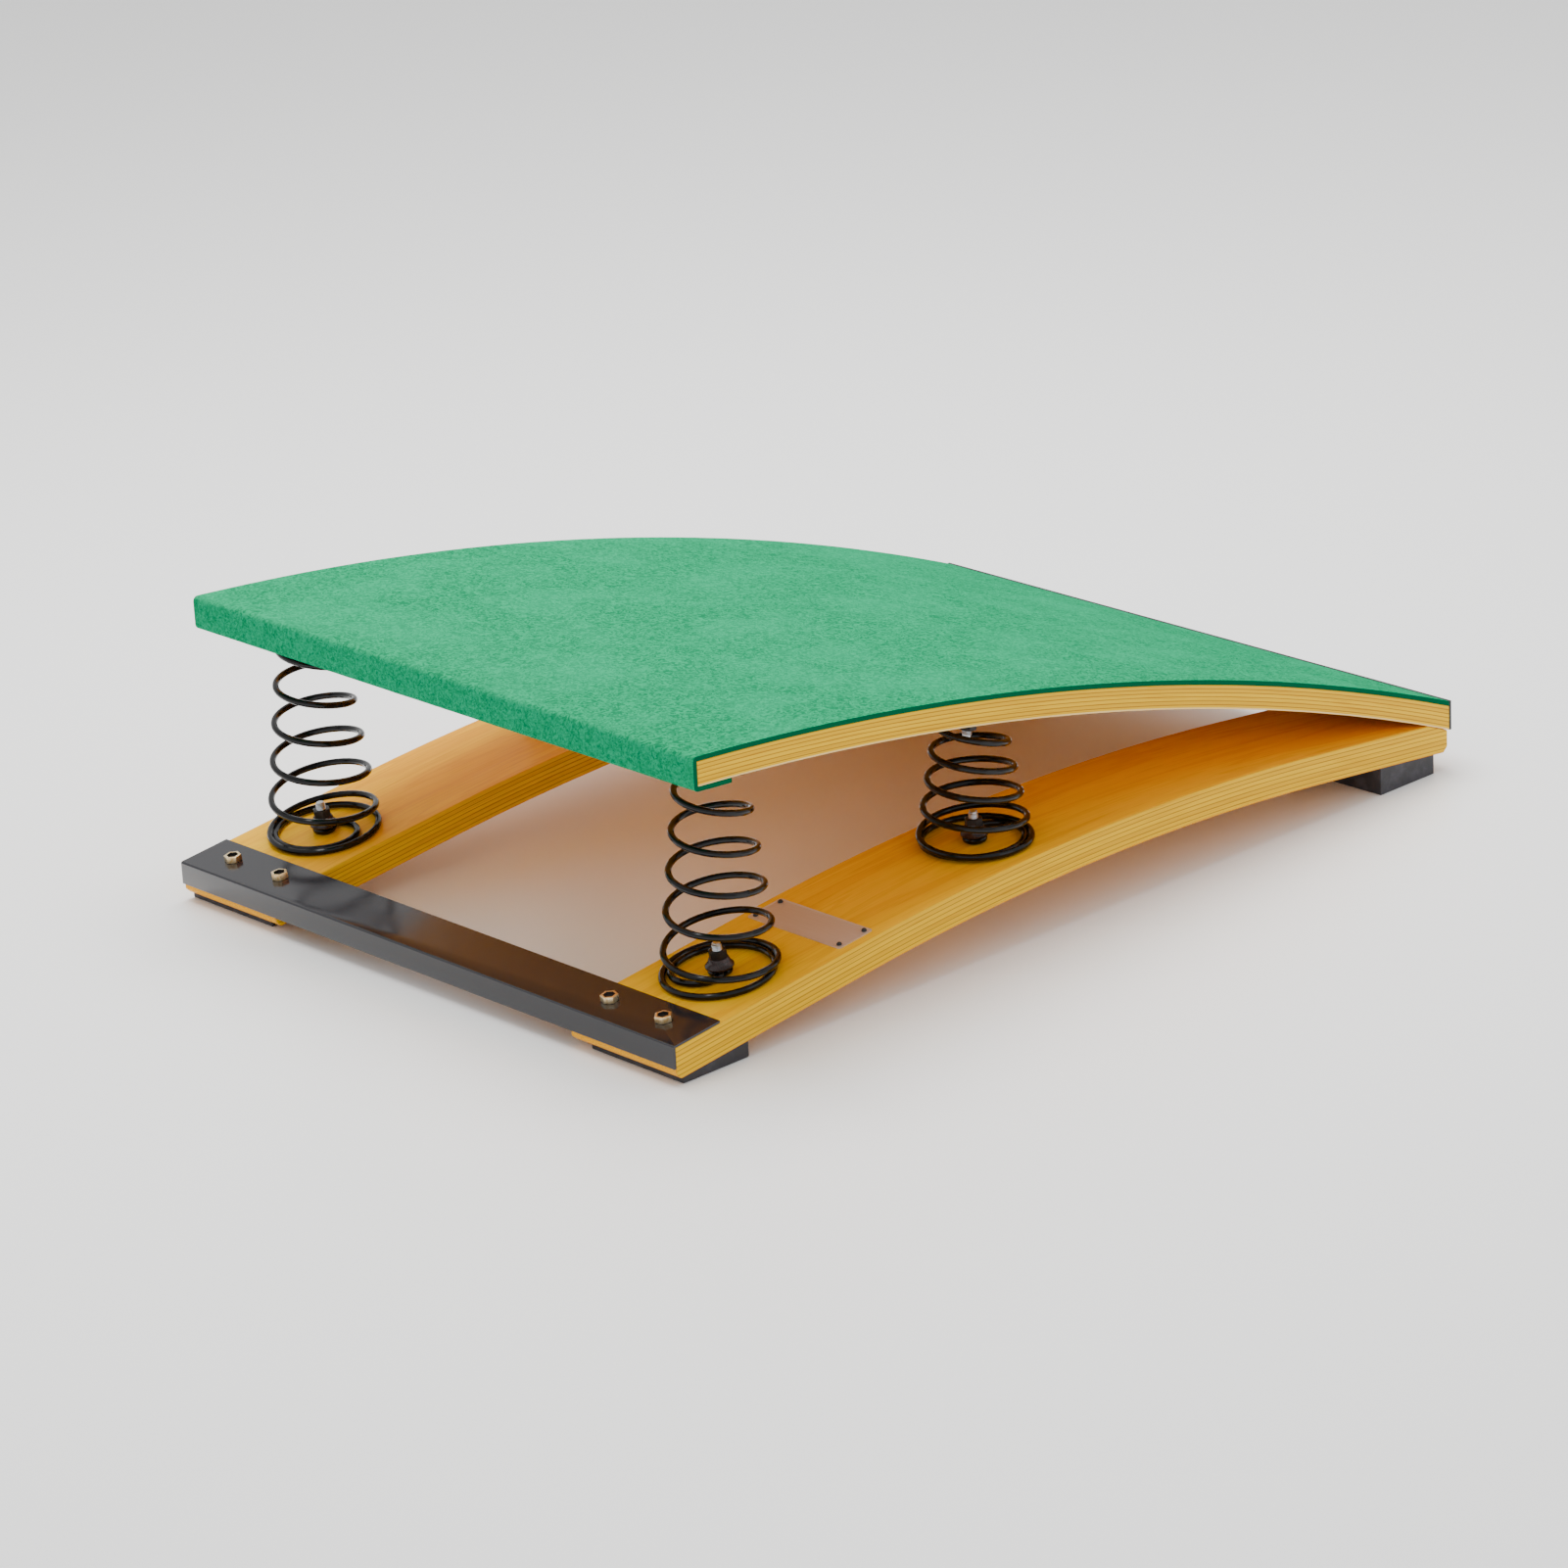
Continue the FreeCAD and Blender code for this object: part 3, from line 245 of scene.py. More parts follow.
def bent_ply(name, centre, radius, directions, thickness, veneers, under):
    """Yellow-stained laminated beech, lacquered; `under` is the colour of its lowest veneer, where the
    edge shows it.
    """
    material, shader = finish_named(name, **{"Specular IOR Level": 0.12})
    coords = add(material, "TexCoord")
    depth, xyz = depth_under(material, coords.outputs["Object"], centre, radius, directions)
    facing = add(material, "SeparateXYZ", {0: coords.outputs["Normal"]})
    veneer = thickness / veneers

    # grain: long in X, fine across
    grain_place = add(material, "CombineXYZ", {
        "X": maths(material, "DIVIDE", xyz.outputs["X"], GRAIN_LENGTH),
        "Y": maths(material, "DIVIDE", xyz.outputs["Y"], GRAIN_WIDTH),
        "Z": maths(material, "DIVIDE", depth, GRAIN_WIDTH)})
    grain = add(material, "TexNoise", {"Vector": grain_place, "Scale": 1.0, "Detail": 3.0,
                                       "Roughness": 0.55})
    figure_place = add(material, "CombineXYZ", {
        "X": maths(material, "DIVIDE", xyz.outputs["X"], FIGURE_SIZE[0]),
        "Y": maths(material, "DIVIDE", xyz.outputs["Y"], FIGURE_SIZE[1]),
        "Z": maths(material, "DIVIDE", depth, FIGURE_SIZE[2])})
    figure = add(material, "TexNoise", {"Vector": figure_place, "Scale": 1.0, "Detail": 2.0,
                                        "Distortion": 0.6})
    rings = maths(material, "SINE", maths(material, "MULTIPLY", figure, FIGURE_RINGS))

    # upper face: amber, with soft rings and fine grain
    face = blend_colours(material, ramp(material, figure, 0.3, 0.7), srgb("F2AE00"), srgb("FDC200"))
    face = blend_colours(material, ramp(material, rings, 0.1, 1.0, 0.0, 0.30), face, srgb("DC8E00"))
    face = blend_colours(material, ramp(material, grain, 0.52, 0.72, 0.0, 0.34), face, srgb("C07800"))

    # edge: one tone for each veneer, a darker line of glue between them, grain along it
    layer = maths(material, "FLOOR", maths(material, "DIVIDE", depth, veneer))
    tone = add(material, "TexWhiteNoise", {"W": layer}, noise_dimensions="1D")
    edge = blend_colours(material, tone.outputs["Value"], srgb("E0AC00"), srgb("EEBC00"))
    edge = blend_colours(material, ramp(material, grain, 0.50, 0.74, 0.0, 0.55), edge, srgb("C08000"))
    wobble = maths(material, "MULTIPLY", maths(material, "SUBTRACT", figure, 0.5),
                   VENEER_WOBBLE)
    to_line = maths(material, "PINGPONG", maths(material, "ADD", depth, wobble), veneer / 2)
    glue = ramp(material, to_line, VENEER_LINE, 1.6 * VENEER_LINE, 0.66, 0.0)
    edge = blend_colours(material, glue, edge, srgb("8C4A00"))
    pale = ramp(material, depth, thickness - PALE_VENEER[0], thickness - PALE_VENEER[1])
    edge = blend_colours(material, pale, edge, under)

    # end grain: short flecks, a little darker
    ends = blend_colours(material, ramp(material, grain, 0.4, 0.7), srgb("FFB400"), srgb("D88C00"))

    upward, sideways = facing.outputs["Z"], maths(material, "ABSOLUTE", facing.outputs["Y"])
    lower = blend_colours(material, ramp(material, grain, 0.45, 0.75, 0.0, 0.4), srgb("EFA62A"),
                          srgb("C97A10"))
    endways = maths(material, "ABSOLUTE", facing.outputs["X"])
    colour = blend_colours(material, ramp(material, sideways, 0.45, 0.75), face, edge)
    colour = blend_colours(material, ramp(material, upward, -0.5, -0.8), colour, lower)
    colour = blend_colours(material, ramp(material, endways, 0.55, 0.8), colour, ends)
    # the rounded long edges are painted darker: painted shade
    painted_arris_shade = maths(material, "MULTIPLY", ramp(material, sideways, 0.2, 0.5),
                  ramp(material, sideways, 0.95, 0.8))
    colour = blend_colours(material, maths(material, "MULTIPLY", painted_arris_shade, 0.45), colour, srgb("B06400"))
    connect(material, colour, shader, "Base Color")
    bumpy(material, shader, grain, 0.12, 0.2 * MM)
    rough = ramp(material, grain, 0.3, 0.8, 0.36, 0.5)
    connect(material, rough, shader, "Roughness")
    return material


rail_wood = bent_ply("lacquered beech ply, rails", RAIL_CENTRE, RAIL_RADIUS + RAIL_PLY,
                     (-RAIL_SLOPES[0], -RAIL_SLOPES[1]), RAIL_PLY, 7, srgb("E89A00"))
deck_wood = bent_ply("lacquered beech ply, deck", DECK_BEND["centre"], DECK_BEND["radius"] - CARPET,
                     (-1.0, 1.0), DECK_PLY, 6, srgb("F0CF86"))
print("plywood nodes:", len(rail_wood.node_tree.nodes), len(deck_wood.node_tree.nodes))

# %% [markdown]
# ## Softened copies
#
# A real board or rubber foot has no knife edges: a sander or the mould leaves a small round that
# catches a line of light. The frame's mesh is loose triangles, so a copy is merged into clean
# faces first, and then the bevel operator rounds only the long sharp edges, not the drillings.

# %% Round the edges of a copy of a frame piece
SHARP = math.radians(25)
FLAT_AREA = 100 * MM * MM


def new_piece(name, bm, smooth=True):
    """Turn a finished bmesh into an object of that name."""
    mesh = bpy.data.meshes.new(name)
    bm.normal_update()
    bm.to_mesh(mesh)
    bm.free()
    if smooth:
        mesh.shade_smooth()
        mesh.set_sharp_from_angle(angle=SHARP)
    piece = bpy.data.objects.new(name, mesh)
    bpy.context.scene.collection.objects.link(piece)
    return piece


def bevelled(bm, edges, offset, segments):
    bmesh.ops.bevel(bm, geom=edges, offset=offset, offset_type="OFFSET", segments=segments,
                    profile=0.5, affect="EDGES", material=-1, clamp_overlap=True)


def softened(node, radius, shortest, body, material, bent=False):
    """A copy of a frame piece with its long sharp edges rounded; large faces stay flat unless bent."""
    bm = bmesh.new()
    bm.from_mesh(NODES[node].data)
    bmesh.ops.remove_doubles(bm, verts=bm.verts, dist=0.001 * MM)
    bmesh.ops.dissolve_limit(bm, angle_limit=math.radians(0.2), verts=bm.verts, edges=bm.edges)
    long_edges = [e for e in bm.edges if len(e.link_faces) == 2
                  and e.calc_face_angle(0) > SHARP and e.calc_length() > shortest]
    bm.normal_update()
    flats = [] if bent else [f.normal.copy() for f in bm.faces if f.calc_area() > FLAT_AREA]
    bevelled(bm, long_edges, radius, 2)
    bm.normal_update()
    for face in bm.faces:
        face.smooth = all(face.normal.angle(flat, math.pi) > SHARP / 2 for flat in flats)
    piece = new_piece(node + "_softened", bm, smooth=False)
    piece.data.set_sharp_from_angle(angle=SHARP)
    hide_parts(node)
    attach(piece, body)
    dress(piece, material)
    print(piece.name, len(piece.data.polygons), "faces,", len(long_edges), "edges rounded")
    return piece


for side in ("left", "right"):
    softened(f"rail_{side}", 1.0 * MM, 5 * MM, "base", rail_wood, bent=True)
softened("deck_board", 0.6 * MM, 5 * MM, "deck", deck_wood, bent=True)

# %% [markdown]
# ## Black enamel, rubber, zinc and aluminium
#
# The angle, the springs and the strip that is screwed over the deck's rear end grain are steel with
# black enamel: a dark coat that mirrors the room faintly. The feet are moulded rubber, which is dark
# grey where it is scuffed. The screws and nuts are steel with a thin plating: clear zinc looks
# silver, and yellow zinc looks like pale brass.

# %% Metal, rubber and plastic finishes
def enamel(name, colour, roughness, gloss, orange_peel):
    """Baked enamel on steel; the orange peel is the coat's slow waviness."""
    material, shader = finish_named(name, **{"Base Color": srgb(colour), "Roughness": roughness,
                                             "Specular IOR Level": gloss})
    coords = add(material, "TexCoord")
    waves = mottle(material, coords, 4 * MM, Detail=2.0)
    bumpy(material, shader, waves, orange_peel, 0.05 * MM)
    dust = mottle(material, coords, 25 * MM, Detail=4.0)
    connect(material, ramp(material, dust, 0.35, 0.75, roughness * 0.9, roughness * 1.15), shader,
            "Roughness")
    return material


def plated(name, bright, dull, roughness):
    """Zinc-plated steel: metal, with cloudy patches where the plating is thinner."""
    material, shader = finish_named(name, Metallic=1.0)
    coords = add(material, "TexCoord")
    clouds = mottle(material, coords, 5 * MM, Detail=5.0, Roughness=0.6)
    patches = ramp(material, clouds, 0.35, 0.7)
    connect(material, blend_colours(material, patches, srgb(bright), srgb(dull)), shader, "Base Color")
    connect(material, ramp(material, clouds, 0.3, 0.75, roughness, roughness + 0.16), shader, "Roughness")
    bumpy(material, shader, clouds, 0.15, 0.05 * MM)
    return material


def moulded(name, deep, scuffed, roughness, grit):
    """Moulded rubber or plastic: matt, with a fine grit and paler scuffs."""
    material, shader = finish_named(name)
    coords = add(material, "TexCoord")
    speck = mottle(material, coords, grit, Detail=3.0)
    scuff = mottle(material, coords, 18 * MM, Detail=5.0, Roughness=0.65)
    worn = ramp(material, scuff, 0.42, 0.75)
    connect(material, blend_colours(material, worn, srgb(deep), srgb(scuffed)), shader, "Base Color")
    connect(material, ramp(material, scuff, 0.3, 0.8, roughness - 0.1, roughness + 0.1), shader,
            "Roughness")
    bumpy(material, shader, speck, 0.35, 0.1 * MM)
    return material


angle_enamel = enamel("black enamel on pressed steel", "1B1A20", 0.16, 0.6, 0.05)
spring_enamel = enamel("black enamel on spring wire", "060608", 0.13, 0.3, 0.04)
clear_zinc = plated("clear zinc plate", "E4E6EA", "BFC2C8", 0.26)
yellow_zinc = plated("yellow zinc plate", "FFEBC0", "D4AC6C", 0.26)
# also the dark of the bolt heads' dishes: painted shade
black_oxide_and_dish_shade = moulded("blackened steel and painted dish shade", "15110F", "2C2420", 0.38, 0.8 * MM)
foot_rubber = moulded("moulded black rubber", "242329", "47454B", 0.62, 0.7 * MM)
strip_enamel = enamel("black enamel on flat steel", "0C0C0E", 0.3, 0.3, 0.05)
cup_nylon = moulded("moulded brown-black nylon", "26120F", "4C2B25", 0.3, 0.5 * MM)

for end in ("front", "rear"):
    for side in ("left", "right"):
        softened(f"{end}_foot_{side}", 1.2 * MM, 3 * MM, "base", foot_rubber)
softened("front_angle", 0.5 * MM, 5 * MM, "base", angle_enamel)
dress(NODES["rear_edge_strip"], strip_enamel)

for node in ("foot_screws", "rear_joint_bolts", "rear_joint_steel_washers", "rear_joint_nuts",
             "edge_strip_screws"):
    dress(NODES[node], clear_zinc)
for node in ("front_angle_washers", "front_angle_nuts"):
    dress(NODES[node], yellow_zinc)

# %% [markdown]
# ## Needle-felt carpet
#
# The deck is covered with one piece of needle felt, glued over the top, round the front edge and a
# little way back underneath. It is a sheet, so it is built as one: a strip of cloth follows the
# deck's section and is drawn out across the board. Solidify gives it its 4 mm, and a gentle noise
# moves its outer face, because glued felt is never quite flat and its cut edges are a little rough.

# %% Carpet
FOLD_RADIUS = 0.6 * MM       # of the felt's inner face, round the deck's softened edge
FOLD_STEPS = 5
FELT_STEP = 6.0 * MM
GLUE = 0.1 * MM
SWELL = 0.12 * MM
RETURN = 38 * MM             # from the felt's front face, back underneath the deck
RETURN_END = DECK_FRONT - CARPET + RETURN


def fold(x, z, first):
    """A quarter turn of the section, anticlockwise from that direction in degrees."""
    angles = [math.radians(first + 90 * n / FOLD_STEPS) for n in range(FOLD_STEPS + 1)]
    return [(x + FOLD_RADIUS * math.cos(a), z + FOLD_RADIUS * math.sin(a)) for a in angles]


def carpet_section():
    """Points of the carpet's inner face, from the rear edge over the top to its end underneath."""
    top, under = CARPET - GLUE, CARPET + DECK_PLY + GLUE
    front = DECK_FRONT - GLUE
    steps = int((DECK_REAR - DECK_FRONT) / FELT_STEP)
    points = []
    for step in range(steps):
        x = DECK_REAR + (front - DECK_REAR) * step / steps
        points.append((x, deck_height(x, top)))
    high, low = deck_height(front, top) - FOLD_RADIUS, deck_height(front, under) + FOLD_RADIUS
    points += fold(front + FOLD_RADIUS, high, 90)
    face_steps = 4
    points += [(front, high + (low - high) * n / face_steps) for n in range(1, face_steps)]
    points += fold(front + FOLD_RADIUS, low, 180)
    back_steps = 6
    for step in range(1, back_steps + 1):
        x = front + (RETURN_END - front) * step / back_steps
        points.append((x, deck_height(x, under)))
    return points


def draw_on(bm, edges):
    """Extrude a line of edges; gives the new vertices and the line to extrude next."""
    drawn = bmesh.ops.extrude_edge_only(bm, edges=edges)["geom"]
    moved = [v for v in drawn if isinstance(v, bmesh.types.BMVert)]
    kept = set(moved)
    return moved, [e for e in drawn if isinstance(e, bmesh.types.BMEdge) and set(e.verts) <= kept]


def cloth_from(section, width, step):
    """Draw the section out across the board as one sheet of faces."""
    bm = bmesh.new()
    verts = [bm.verts.new((x, -width / 2, z)) for x, z in section]
    edges = [bm.edges.new(pair) for pair in zip(verts, verts[1:])]
    rows = round(width / step)
    for _ in range(rows):
        moved, edges = draw_on(bm, edges)
        bmesh.ops.translate(bm, verts=moved, vec=(0, width / rows, 0))
    bmesh.ops.recalc_face_normals(bm, faces=bm.faces)
    return bm


def felted(bm, thickness, swell):
    """Give the cloth its thickness outwards and let its outer face swell unevenly."""
    lifted = max(bm.faces, key=lambda f: f.calc_center_median().z)
    if lifted.normal.z < 0:
        bmesh.ops.reverse_faces(bm, faces=bm.faces)
    bm.normal_update()
    inner = set(bm.verts)
    bmesh.ops.solidify(bm, geom=bm.faces, thickness=-thickness)
    bm.normal_update()
    outer = [v for v in bm.verts if v not in inner]
    for vert in outer:
        vert.co += vert.normal * swell * noise.noise(vert.co / (9 * MM))
    return bm


section = carpet_section()
bm = felted(cloth_from(section, 2 * HALF_WIDTH, FELT_STEP), CARPET - 0.2 * MM, SWELL)
carpet = new_piece("needle_felt_carpet", bm)

# %% [markdown]
# The felt's colour comes from dyed fibres that lie in all directions, so the material has fibre
# flecks about a millimetre across and larger soft patches where the pile was pressed. The top is
# painted paler than the front face, as painted light from above, and the side faces are painted
# darker, as painted shade.

# %% Carpet finish
def felt(name):
    """Dyed fibres: flecks, tufts and pressed patches, with painted light on top and painted shade on the
    sides.
    """
    material, shader = finish_named(name, Roughness=0.92, **{"Specular IOR Level": 0.0})
    coords = add(material, "TexCoord")
    facing = add(material, "SeparateXYZ", {0: coords.outputs["Normal"]})
    fibre = mottle(material, coords, 1.3 * MM, Detail=3.0, Roughness=0.7, Distortion=1.4)
    tuft = mottle(material, coords, 6 * MM, Detail=3.0, Roughness=0.6, Distortion=2.2)
    patch = mottle(material, coords, 70 * MM, Detail=3.0)
    # the top's colour, paler than the rest: painted light from above
    painted_lit_top = blend_colours(material, ramp(material, tuft, 0.40, 0.60), srgb("04744A"), srgb("0F9C68"))
    painted_lit_top = blend_colours(material, ramp(material, fibre, 0.5, 0.75, 0.0, 0.35), painted_lit_top, srgb("02663F"))
    painted_lit_top = blend_colours(material, ramp(material, patch, 0.4, 0.7, 0.0, 0.3), painted_lit_top, srgb("1EA472"))
    base_felt = blend_colours(material, ramp(material, tuft, 0.34, 0.62), srgb("048654"), srgb("0BA672"))
    base_felt = blend_colours(material, ramp(material, fibre, 0.46, 0.68, 0.0, 0.75), base_felt, srgb("005138"))
    # faces that look up get the paler top colour: painted light
    colour = blend_colours(material, ramp(material, facing.outputs["Z"], 0.3, 0.75), base_felt, painted_lit_top)
    # the side faces get a dark green: painted shade
    painted_side_shade = ramp(material, maths(material, "ABSOLUTE", facing.outputs["Y"]), 0.5, 0.8)
    colour = blend_colours(material, painted_side_shade, colour, srgb("005A3A"))
    connect(material, colour, shader, "Base Color")
    pile = maths(material, "ADD", fibre, maths(material, "MULTIPLY", tuft, 1.5))
    bumpy(material, shader, pile, 0.7, 0.5 * MM)
    return material


green_felt = felt("green needle felt")
dress(carpet, green_felt)
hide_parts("carpet")
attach(carpet, "deck")

# %% [markdown]
# ## Conical springs
#
# Each spring is one length of black wire. It starts in an eye round a bolt, spirals out to a flat
# ring on the rail, climbs in a narrowing left-hand coil and ends in an eye under the deck. The wire
# is made the way a bender makes it: a circle of wire is pushed along a line, step by step, with the
# extrude operator. When the deck comes down the coil has to close up.

# %% Springs
WIRE = 2.75 * MM
EYE_GAP = 0.35 * MM
EYE = 7.3 * MM
BASE_RING = (39.8 * MM, 45.5 * MM)
TOP_RING = 25 * MM
SPRING_X = {"front": -342 * MM, "middle": -64 * MM}
SIDES = {"left": -1, "right": 1}
TURNS = {"front": 6.1, "middle": 5.5}
FIRST_ANGLE = {("front", "left"): 205, ("front", "right"): 330,
               ("middle", "left"): 60, ("middle", "right"): 200}
EYE_TURN, SPIRAL_TURN, RING_TURN = 300, 150, 360
PITCH_RAMP = 0.6
WIRE_STEP = 9                # degrees of turn between two rings of the wire's mesh
WIRE_SIDES = 14


def eased(t):
    return t * t * (3 - 2 * t)


def climbed_share(turn, turns):
    """Share of the height climbed: the pitch eases in and out over PITCH_RAMP of a turn."""
    full = turns - PITCH_RAMP
    if turn < PITCH_RAMP:
        return turn * turn / (2 * PITCH_RAMP) / full
    if turn > turns - PITCH_RAMP:
        left = turns - turn
        return 1 - left * left / (2 * PITCH_RAMP) / full
    return (turn - PITCH_RAMP / 2) / full


def spring_line(x, y, turns, first_angle):
    """Points along the wire's middle, from the eye on the rail to the eye under the deck."""
    clear = WIRE + EYE_GAP
    low, high = rail_top(x) + clear, deck_height(x, CARPET + DECK_PLY) - clear
    leans = (math.tan(rail_slope(x)), math.tan(deck_slope(x)))
    spans = [EYE_TURN, SPIRAL_TURN, RING_TURN, turns * 360, EYE_TURN, SPIRAL_TURN, EYE_TURN]
    total = sum(spans)
    steps = int(total / WIRE_STEP)
    points = []
    for step in range(steps + 1):
        angle = total * step / steps
        at, part = angle, 0
        while part < len(spans) - 1 and at > spans[part]:
            at -= spans[part]
            part += 1
        t = eased(at / spans[part])
        climbed = 0.0 if part < 3 else 1.0
        if part == 3:
            climbed = climbed_share(at / 360, turns)
        radius = (EYE, EYE + (BASE_RING[0] - EYE) * t, BASE_RING[0] + (BASE_RING[1] - BASE_RING[0]) * t,
                  BASE_RING[1] + (TOP_RING - BASE_RING[1]) * climbed, TOP_RING,
                  TOP_RING + (EYE - TOP_RING) * t, EYE)[part]
        turned = math.radians(first_angle - angle)
        off_axis = clear * (leans[1] * climbed - leans[0] * (1 - climbed))
        dx, dy = off_axis + radius * math.cos(turned), radius * math.sin(turned)
        lean = leans[0] + (leans[1] - leans[0]) * climbed
        points.append(Vector((x + dx, y + dy, low + (high - low) * climbed + lean * dx)))
    return points


def ring_place(points, n):
    """Where the wire's circle stands at point n: its Z looks along the wire, its Y upwards."""
    ahead = (points[min(n + 1, len(points) - 1)] - points[max(n - 1, 0)]).normalized()
    side = ahead.cross(Vector((0, 0, 1))).normalized()
    turn = Matrix((side, ahead.cross(side), ahead)).transposed().to_4x4()
    return Matrix.Translation(points[n]) @ turn


def wire(points, radius, sides):
    """Push a circle along the points with extrude, then close both ends."""
    bm = bmesh.new()
    ring = bmesh.ops.create_circle(bm, segments=sides, radius=radius)["verts"]
    edges = list(bm.edges)
    place = ring_place(points, 0)
    bmesh.ops.transform(bm, matrix=place, verts=ring)
    first = list(edges)
    for n in range(1, len(points)):
        moved, edges = draw_on(bm, edges)
        step = ring_place(points, n)
        bmesh.ops.transform(bm, matrix=step @ place.inverted(), verts=moved)
        place = step
    bmesh.ops.holes_fill(bm, edges=first + edges, sides=sides)
    bmesh.ops.recalc_face_normals(bm, faces=bm.faces)
    return bm


for (end, side), angle in FIRST_ANGLE.items():
    x, y = SPRING_X[end], SIDES[side] * RAIL_Y
    line = spring_line(x, y, TURNS[end], angle)
    spring = new_piece(f"spring_{end}_{side}_wire", wire(line, WIRE, WIRE_SIDES))
    dress(spring, spring_enamel)
    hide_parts(f"spring_{end}_{side}")
    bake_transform(spring)
    print(spring.name, len(spring.data.polygons), "faces")

# %% [markdown]
# ## Turned and threaded pieces
#
# Round hardware is turned on a lathe or moulded in a round die. Its half section is a short line of
# points, and the spin operator turns that line once about its axis. The clamp cups are nylon cones
# with a rolled flange, and each bolt's end is turned with the real ridges of an M8 thread.

# %% Lathe, cups and shanks
def lathe(profile, segments=32):
    """Spin a half section of (radius, height) points once about Z."""
    bm = bmesh.new()
    verts = [bm.verts.new((r, 0, z)) for r, z in profile]
    edges = [bm.edges.new(pair) for pair in zip(verts, verts[1:])]
    bmesh.ops.spin(bm, geom=verts + edges, cent=(0, 0, 0), axis=(0, 0, 1), dvec=(0, 0, 0),
                   angle=2 * math.pi, steps=segments, use_merge=True)
    bmesh.ops.remove_doubles(bm, verts=bm.verts, dist=0.002 * MM)
    bmesh.ops.recalc_face_normals(bm, faces=bm.faces)
    return bm


def gather(makers_and_places):
    """Several meshes at their places, as one bmesh."""
    whole = bmesh.new()
    for maker, place in makers_and_places:
        part = maker()
        bmesh.ops.transform(part, matrix=place, verts=part.verts)
        holder = bpy.data.meshes.new("holder")
        part.to_mesh(holder)
        part.free()
        whole.from_mesh(holder)
        bpy.data.meshes.remove(holder)
    return whole


def square_to(x, y, z, slope, along=0.0, downwards=False):
    """A place on a board's face, its Z square to the face, that far along it."""
    turn = Matrix.Rotation(-slope, 4, "Y")
    flip = Matrix.Rotation(math.pi, 4, "X") if downwards else Matrix()
    return Matrix.Translation((x, y, z)) @ turn @ flip @ Matrix.Translation((0, 0, along))


EYE_HEIGHT = 2 * (WIRE + EYE_GAP)
CUP_HEIGHT = 8 * MM
NUT_HEIGHT = 6.5 * MM
THREAD_END = 6 * MM
BOLT_RADIUS = 4 * MM
THREAD_PITCH = 1.25 * MM
THREAD_DEPTH = 0.55 * MM


def cup():
    """A clamp cup: a rolled flange, a waisted cone and a flat land for the nut."""
    bore = 4.2 * MM
    return lathe([(bore, 0), (10.9 * MM, 0), (11.5 * MM, 0.6 * MM), (11.5 * MM, 1.5 * MM),
                  (10.9 * MM, 2.2 * MM), (9.5 * MM, 3.6 * MM), (8.6 * MM, 5.4 * MM), (8.0 * MM, 7.4 * MM),
                  (7.5 * MM, CUP_HEIGHT), (bore, CUP_HEIGHT), (bore, 0)])


def threaded_shank(length, threaded):
    """A bolt's shank along Z: plain, then ridges at the thread's pitch, then a chamfered tip."""
    crest, root = BOLT_RADIUS, BOLT_RADIUS - THREAD_DEPTH
    plain = length - threaded
    points = [(0, 0), (crest, 0), (crest, plain - 0.3 * THREAD_PITCH), (root, plain)]
    for n in range(int((threaded - 1 * MM) / THREAD_PITCH)):
        z = plain + n * THREAD_PITCH
        points += [(crest, z + 0.35 * THREAD_PITCH), (crest, z + 0.5 * THREAD_PITCH),
                   (root, z + 0.85 * THREAD_PITCH)]
    points += [(root, length - 0.5 * MM), (root - 0.7 * MM, length), (0, length)]
    return lathe(points, 24)


def flat_head():
    """The low round head that is let into the deck."""
    return lathe([(0, 0), (10 * MM, 0), (10 * MM, 2.2 * MM), (9.6 * MM, 2.6 * MM), (0, 2.6 * MM)])


# %% [markdown]
# A pressed hexagon head is not a plain prism: its top is dished, its corners are turned off, and a
# round washer face stands under it. A six-sided cone gives the hexagon, inset and a move downwards
# give the dish, and bevel breaks the corners.

# %% Hexagon head
HEAD_FLATS = 13 * MM
HEAD_HEIGHT = 5.3 * MM
WASHER_FACE = 0.4 * MM
WASHER_FACE_RADIUS = 6.2 * MM
HEAD_CHAMFER = 0.9 * MM
HEAD_RIM = 1.5 * MM
DISH_WALL = 0.5 * MM
CORNER_ROUND = 0.35 * MM
DISH_DEPTH = 2.2 * MM
DISH_RADIUS = 4.2 * MM
PAINTED_DISH_SHADE = 1                  # the second material of a piece with heads: painted shade in the dish


def hexagon():
    """A hexagon with a dished top, standing just over its washer face."""
    bm = bmesh.new()
    corner = HEAD_FLATS / math.sqrt(3)
    bmesh.ops.create_cone(bm, cap_ends=True, segments=6, radius1=corner, radius2=corner,
                          depth=HEAD_HEIGHT - WASHER_FACE)
    bmesh.ops.translate(bm, verts=bm.verts, vec=(0, 0, (HEAD_HEIGHT + WASHER_FACE) / 2))
    top = max(bm.faces, key=lambda f: f.calc_center_median().z)
    bevelled(bm, list(top.edges), HEAD_CHAMFER, 3)
    top = max(bm.faces, key=lambda f: (f.calc_center_median().z, f.calc_area()))
    bmesh.ops.inset_region(bm, faces=[top], thickness=HEAD_RIM, depth=0.0)
    bmesh.ops.inset_region(bm, faces=[top], thickness=DISH_WALL, depth=-DISH_DEPTH)
    # the faces sunk into the dish take the dark second material: painted shade
    for face in bm.faces:
        centre = face.calc_center_median()
        if centre.xy.length < DISH_RADIUS and centre.z < HEAD_HEIGHT - 0.2 * MM:
            face.material_index = PAINTED_DISH_SHADE
    uprights = [e for e in bm.edges if abs(e.verts[0].co.z - e.verts[1].co.z) > 2 * MM]
    bevelled(bm, uprights, CORNER_ROUND, 2)
    return bm


def hex_head():
    """The hexagon and its washer face, as one mesh that stands on the origin."""
    return gather([(hexagon, Matrix()), (washer_face, Matrix())])


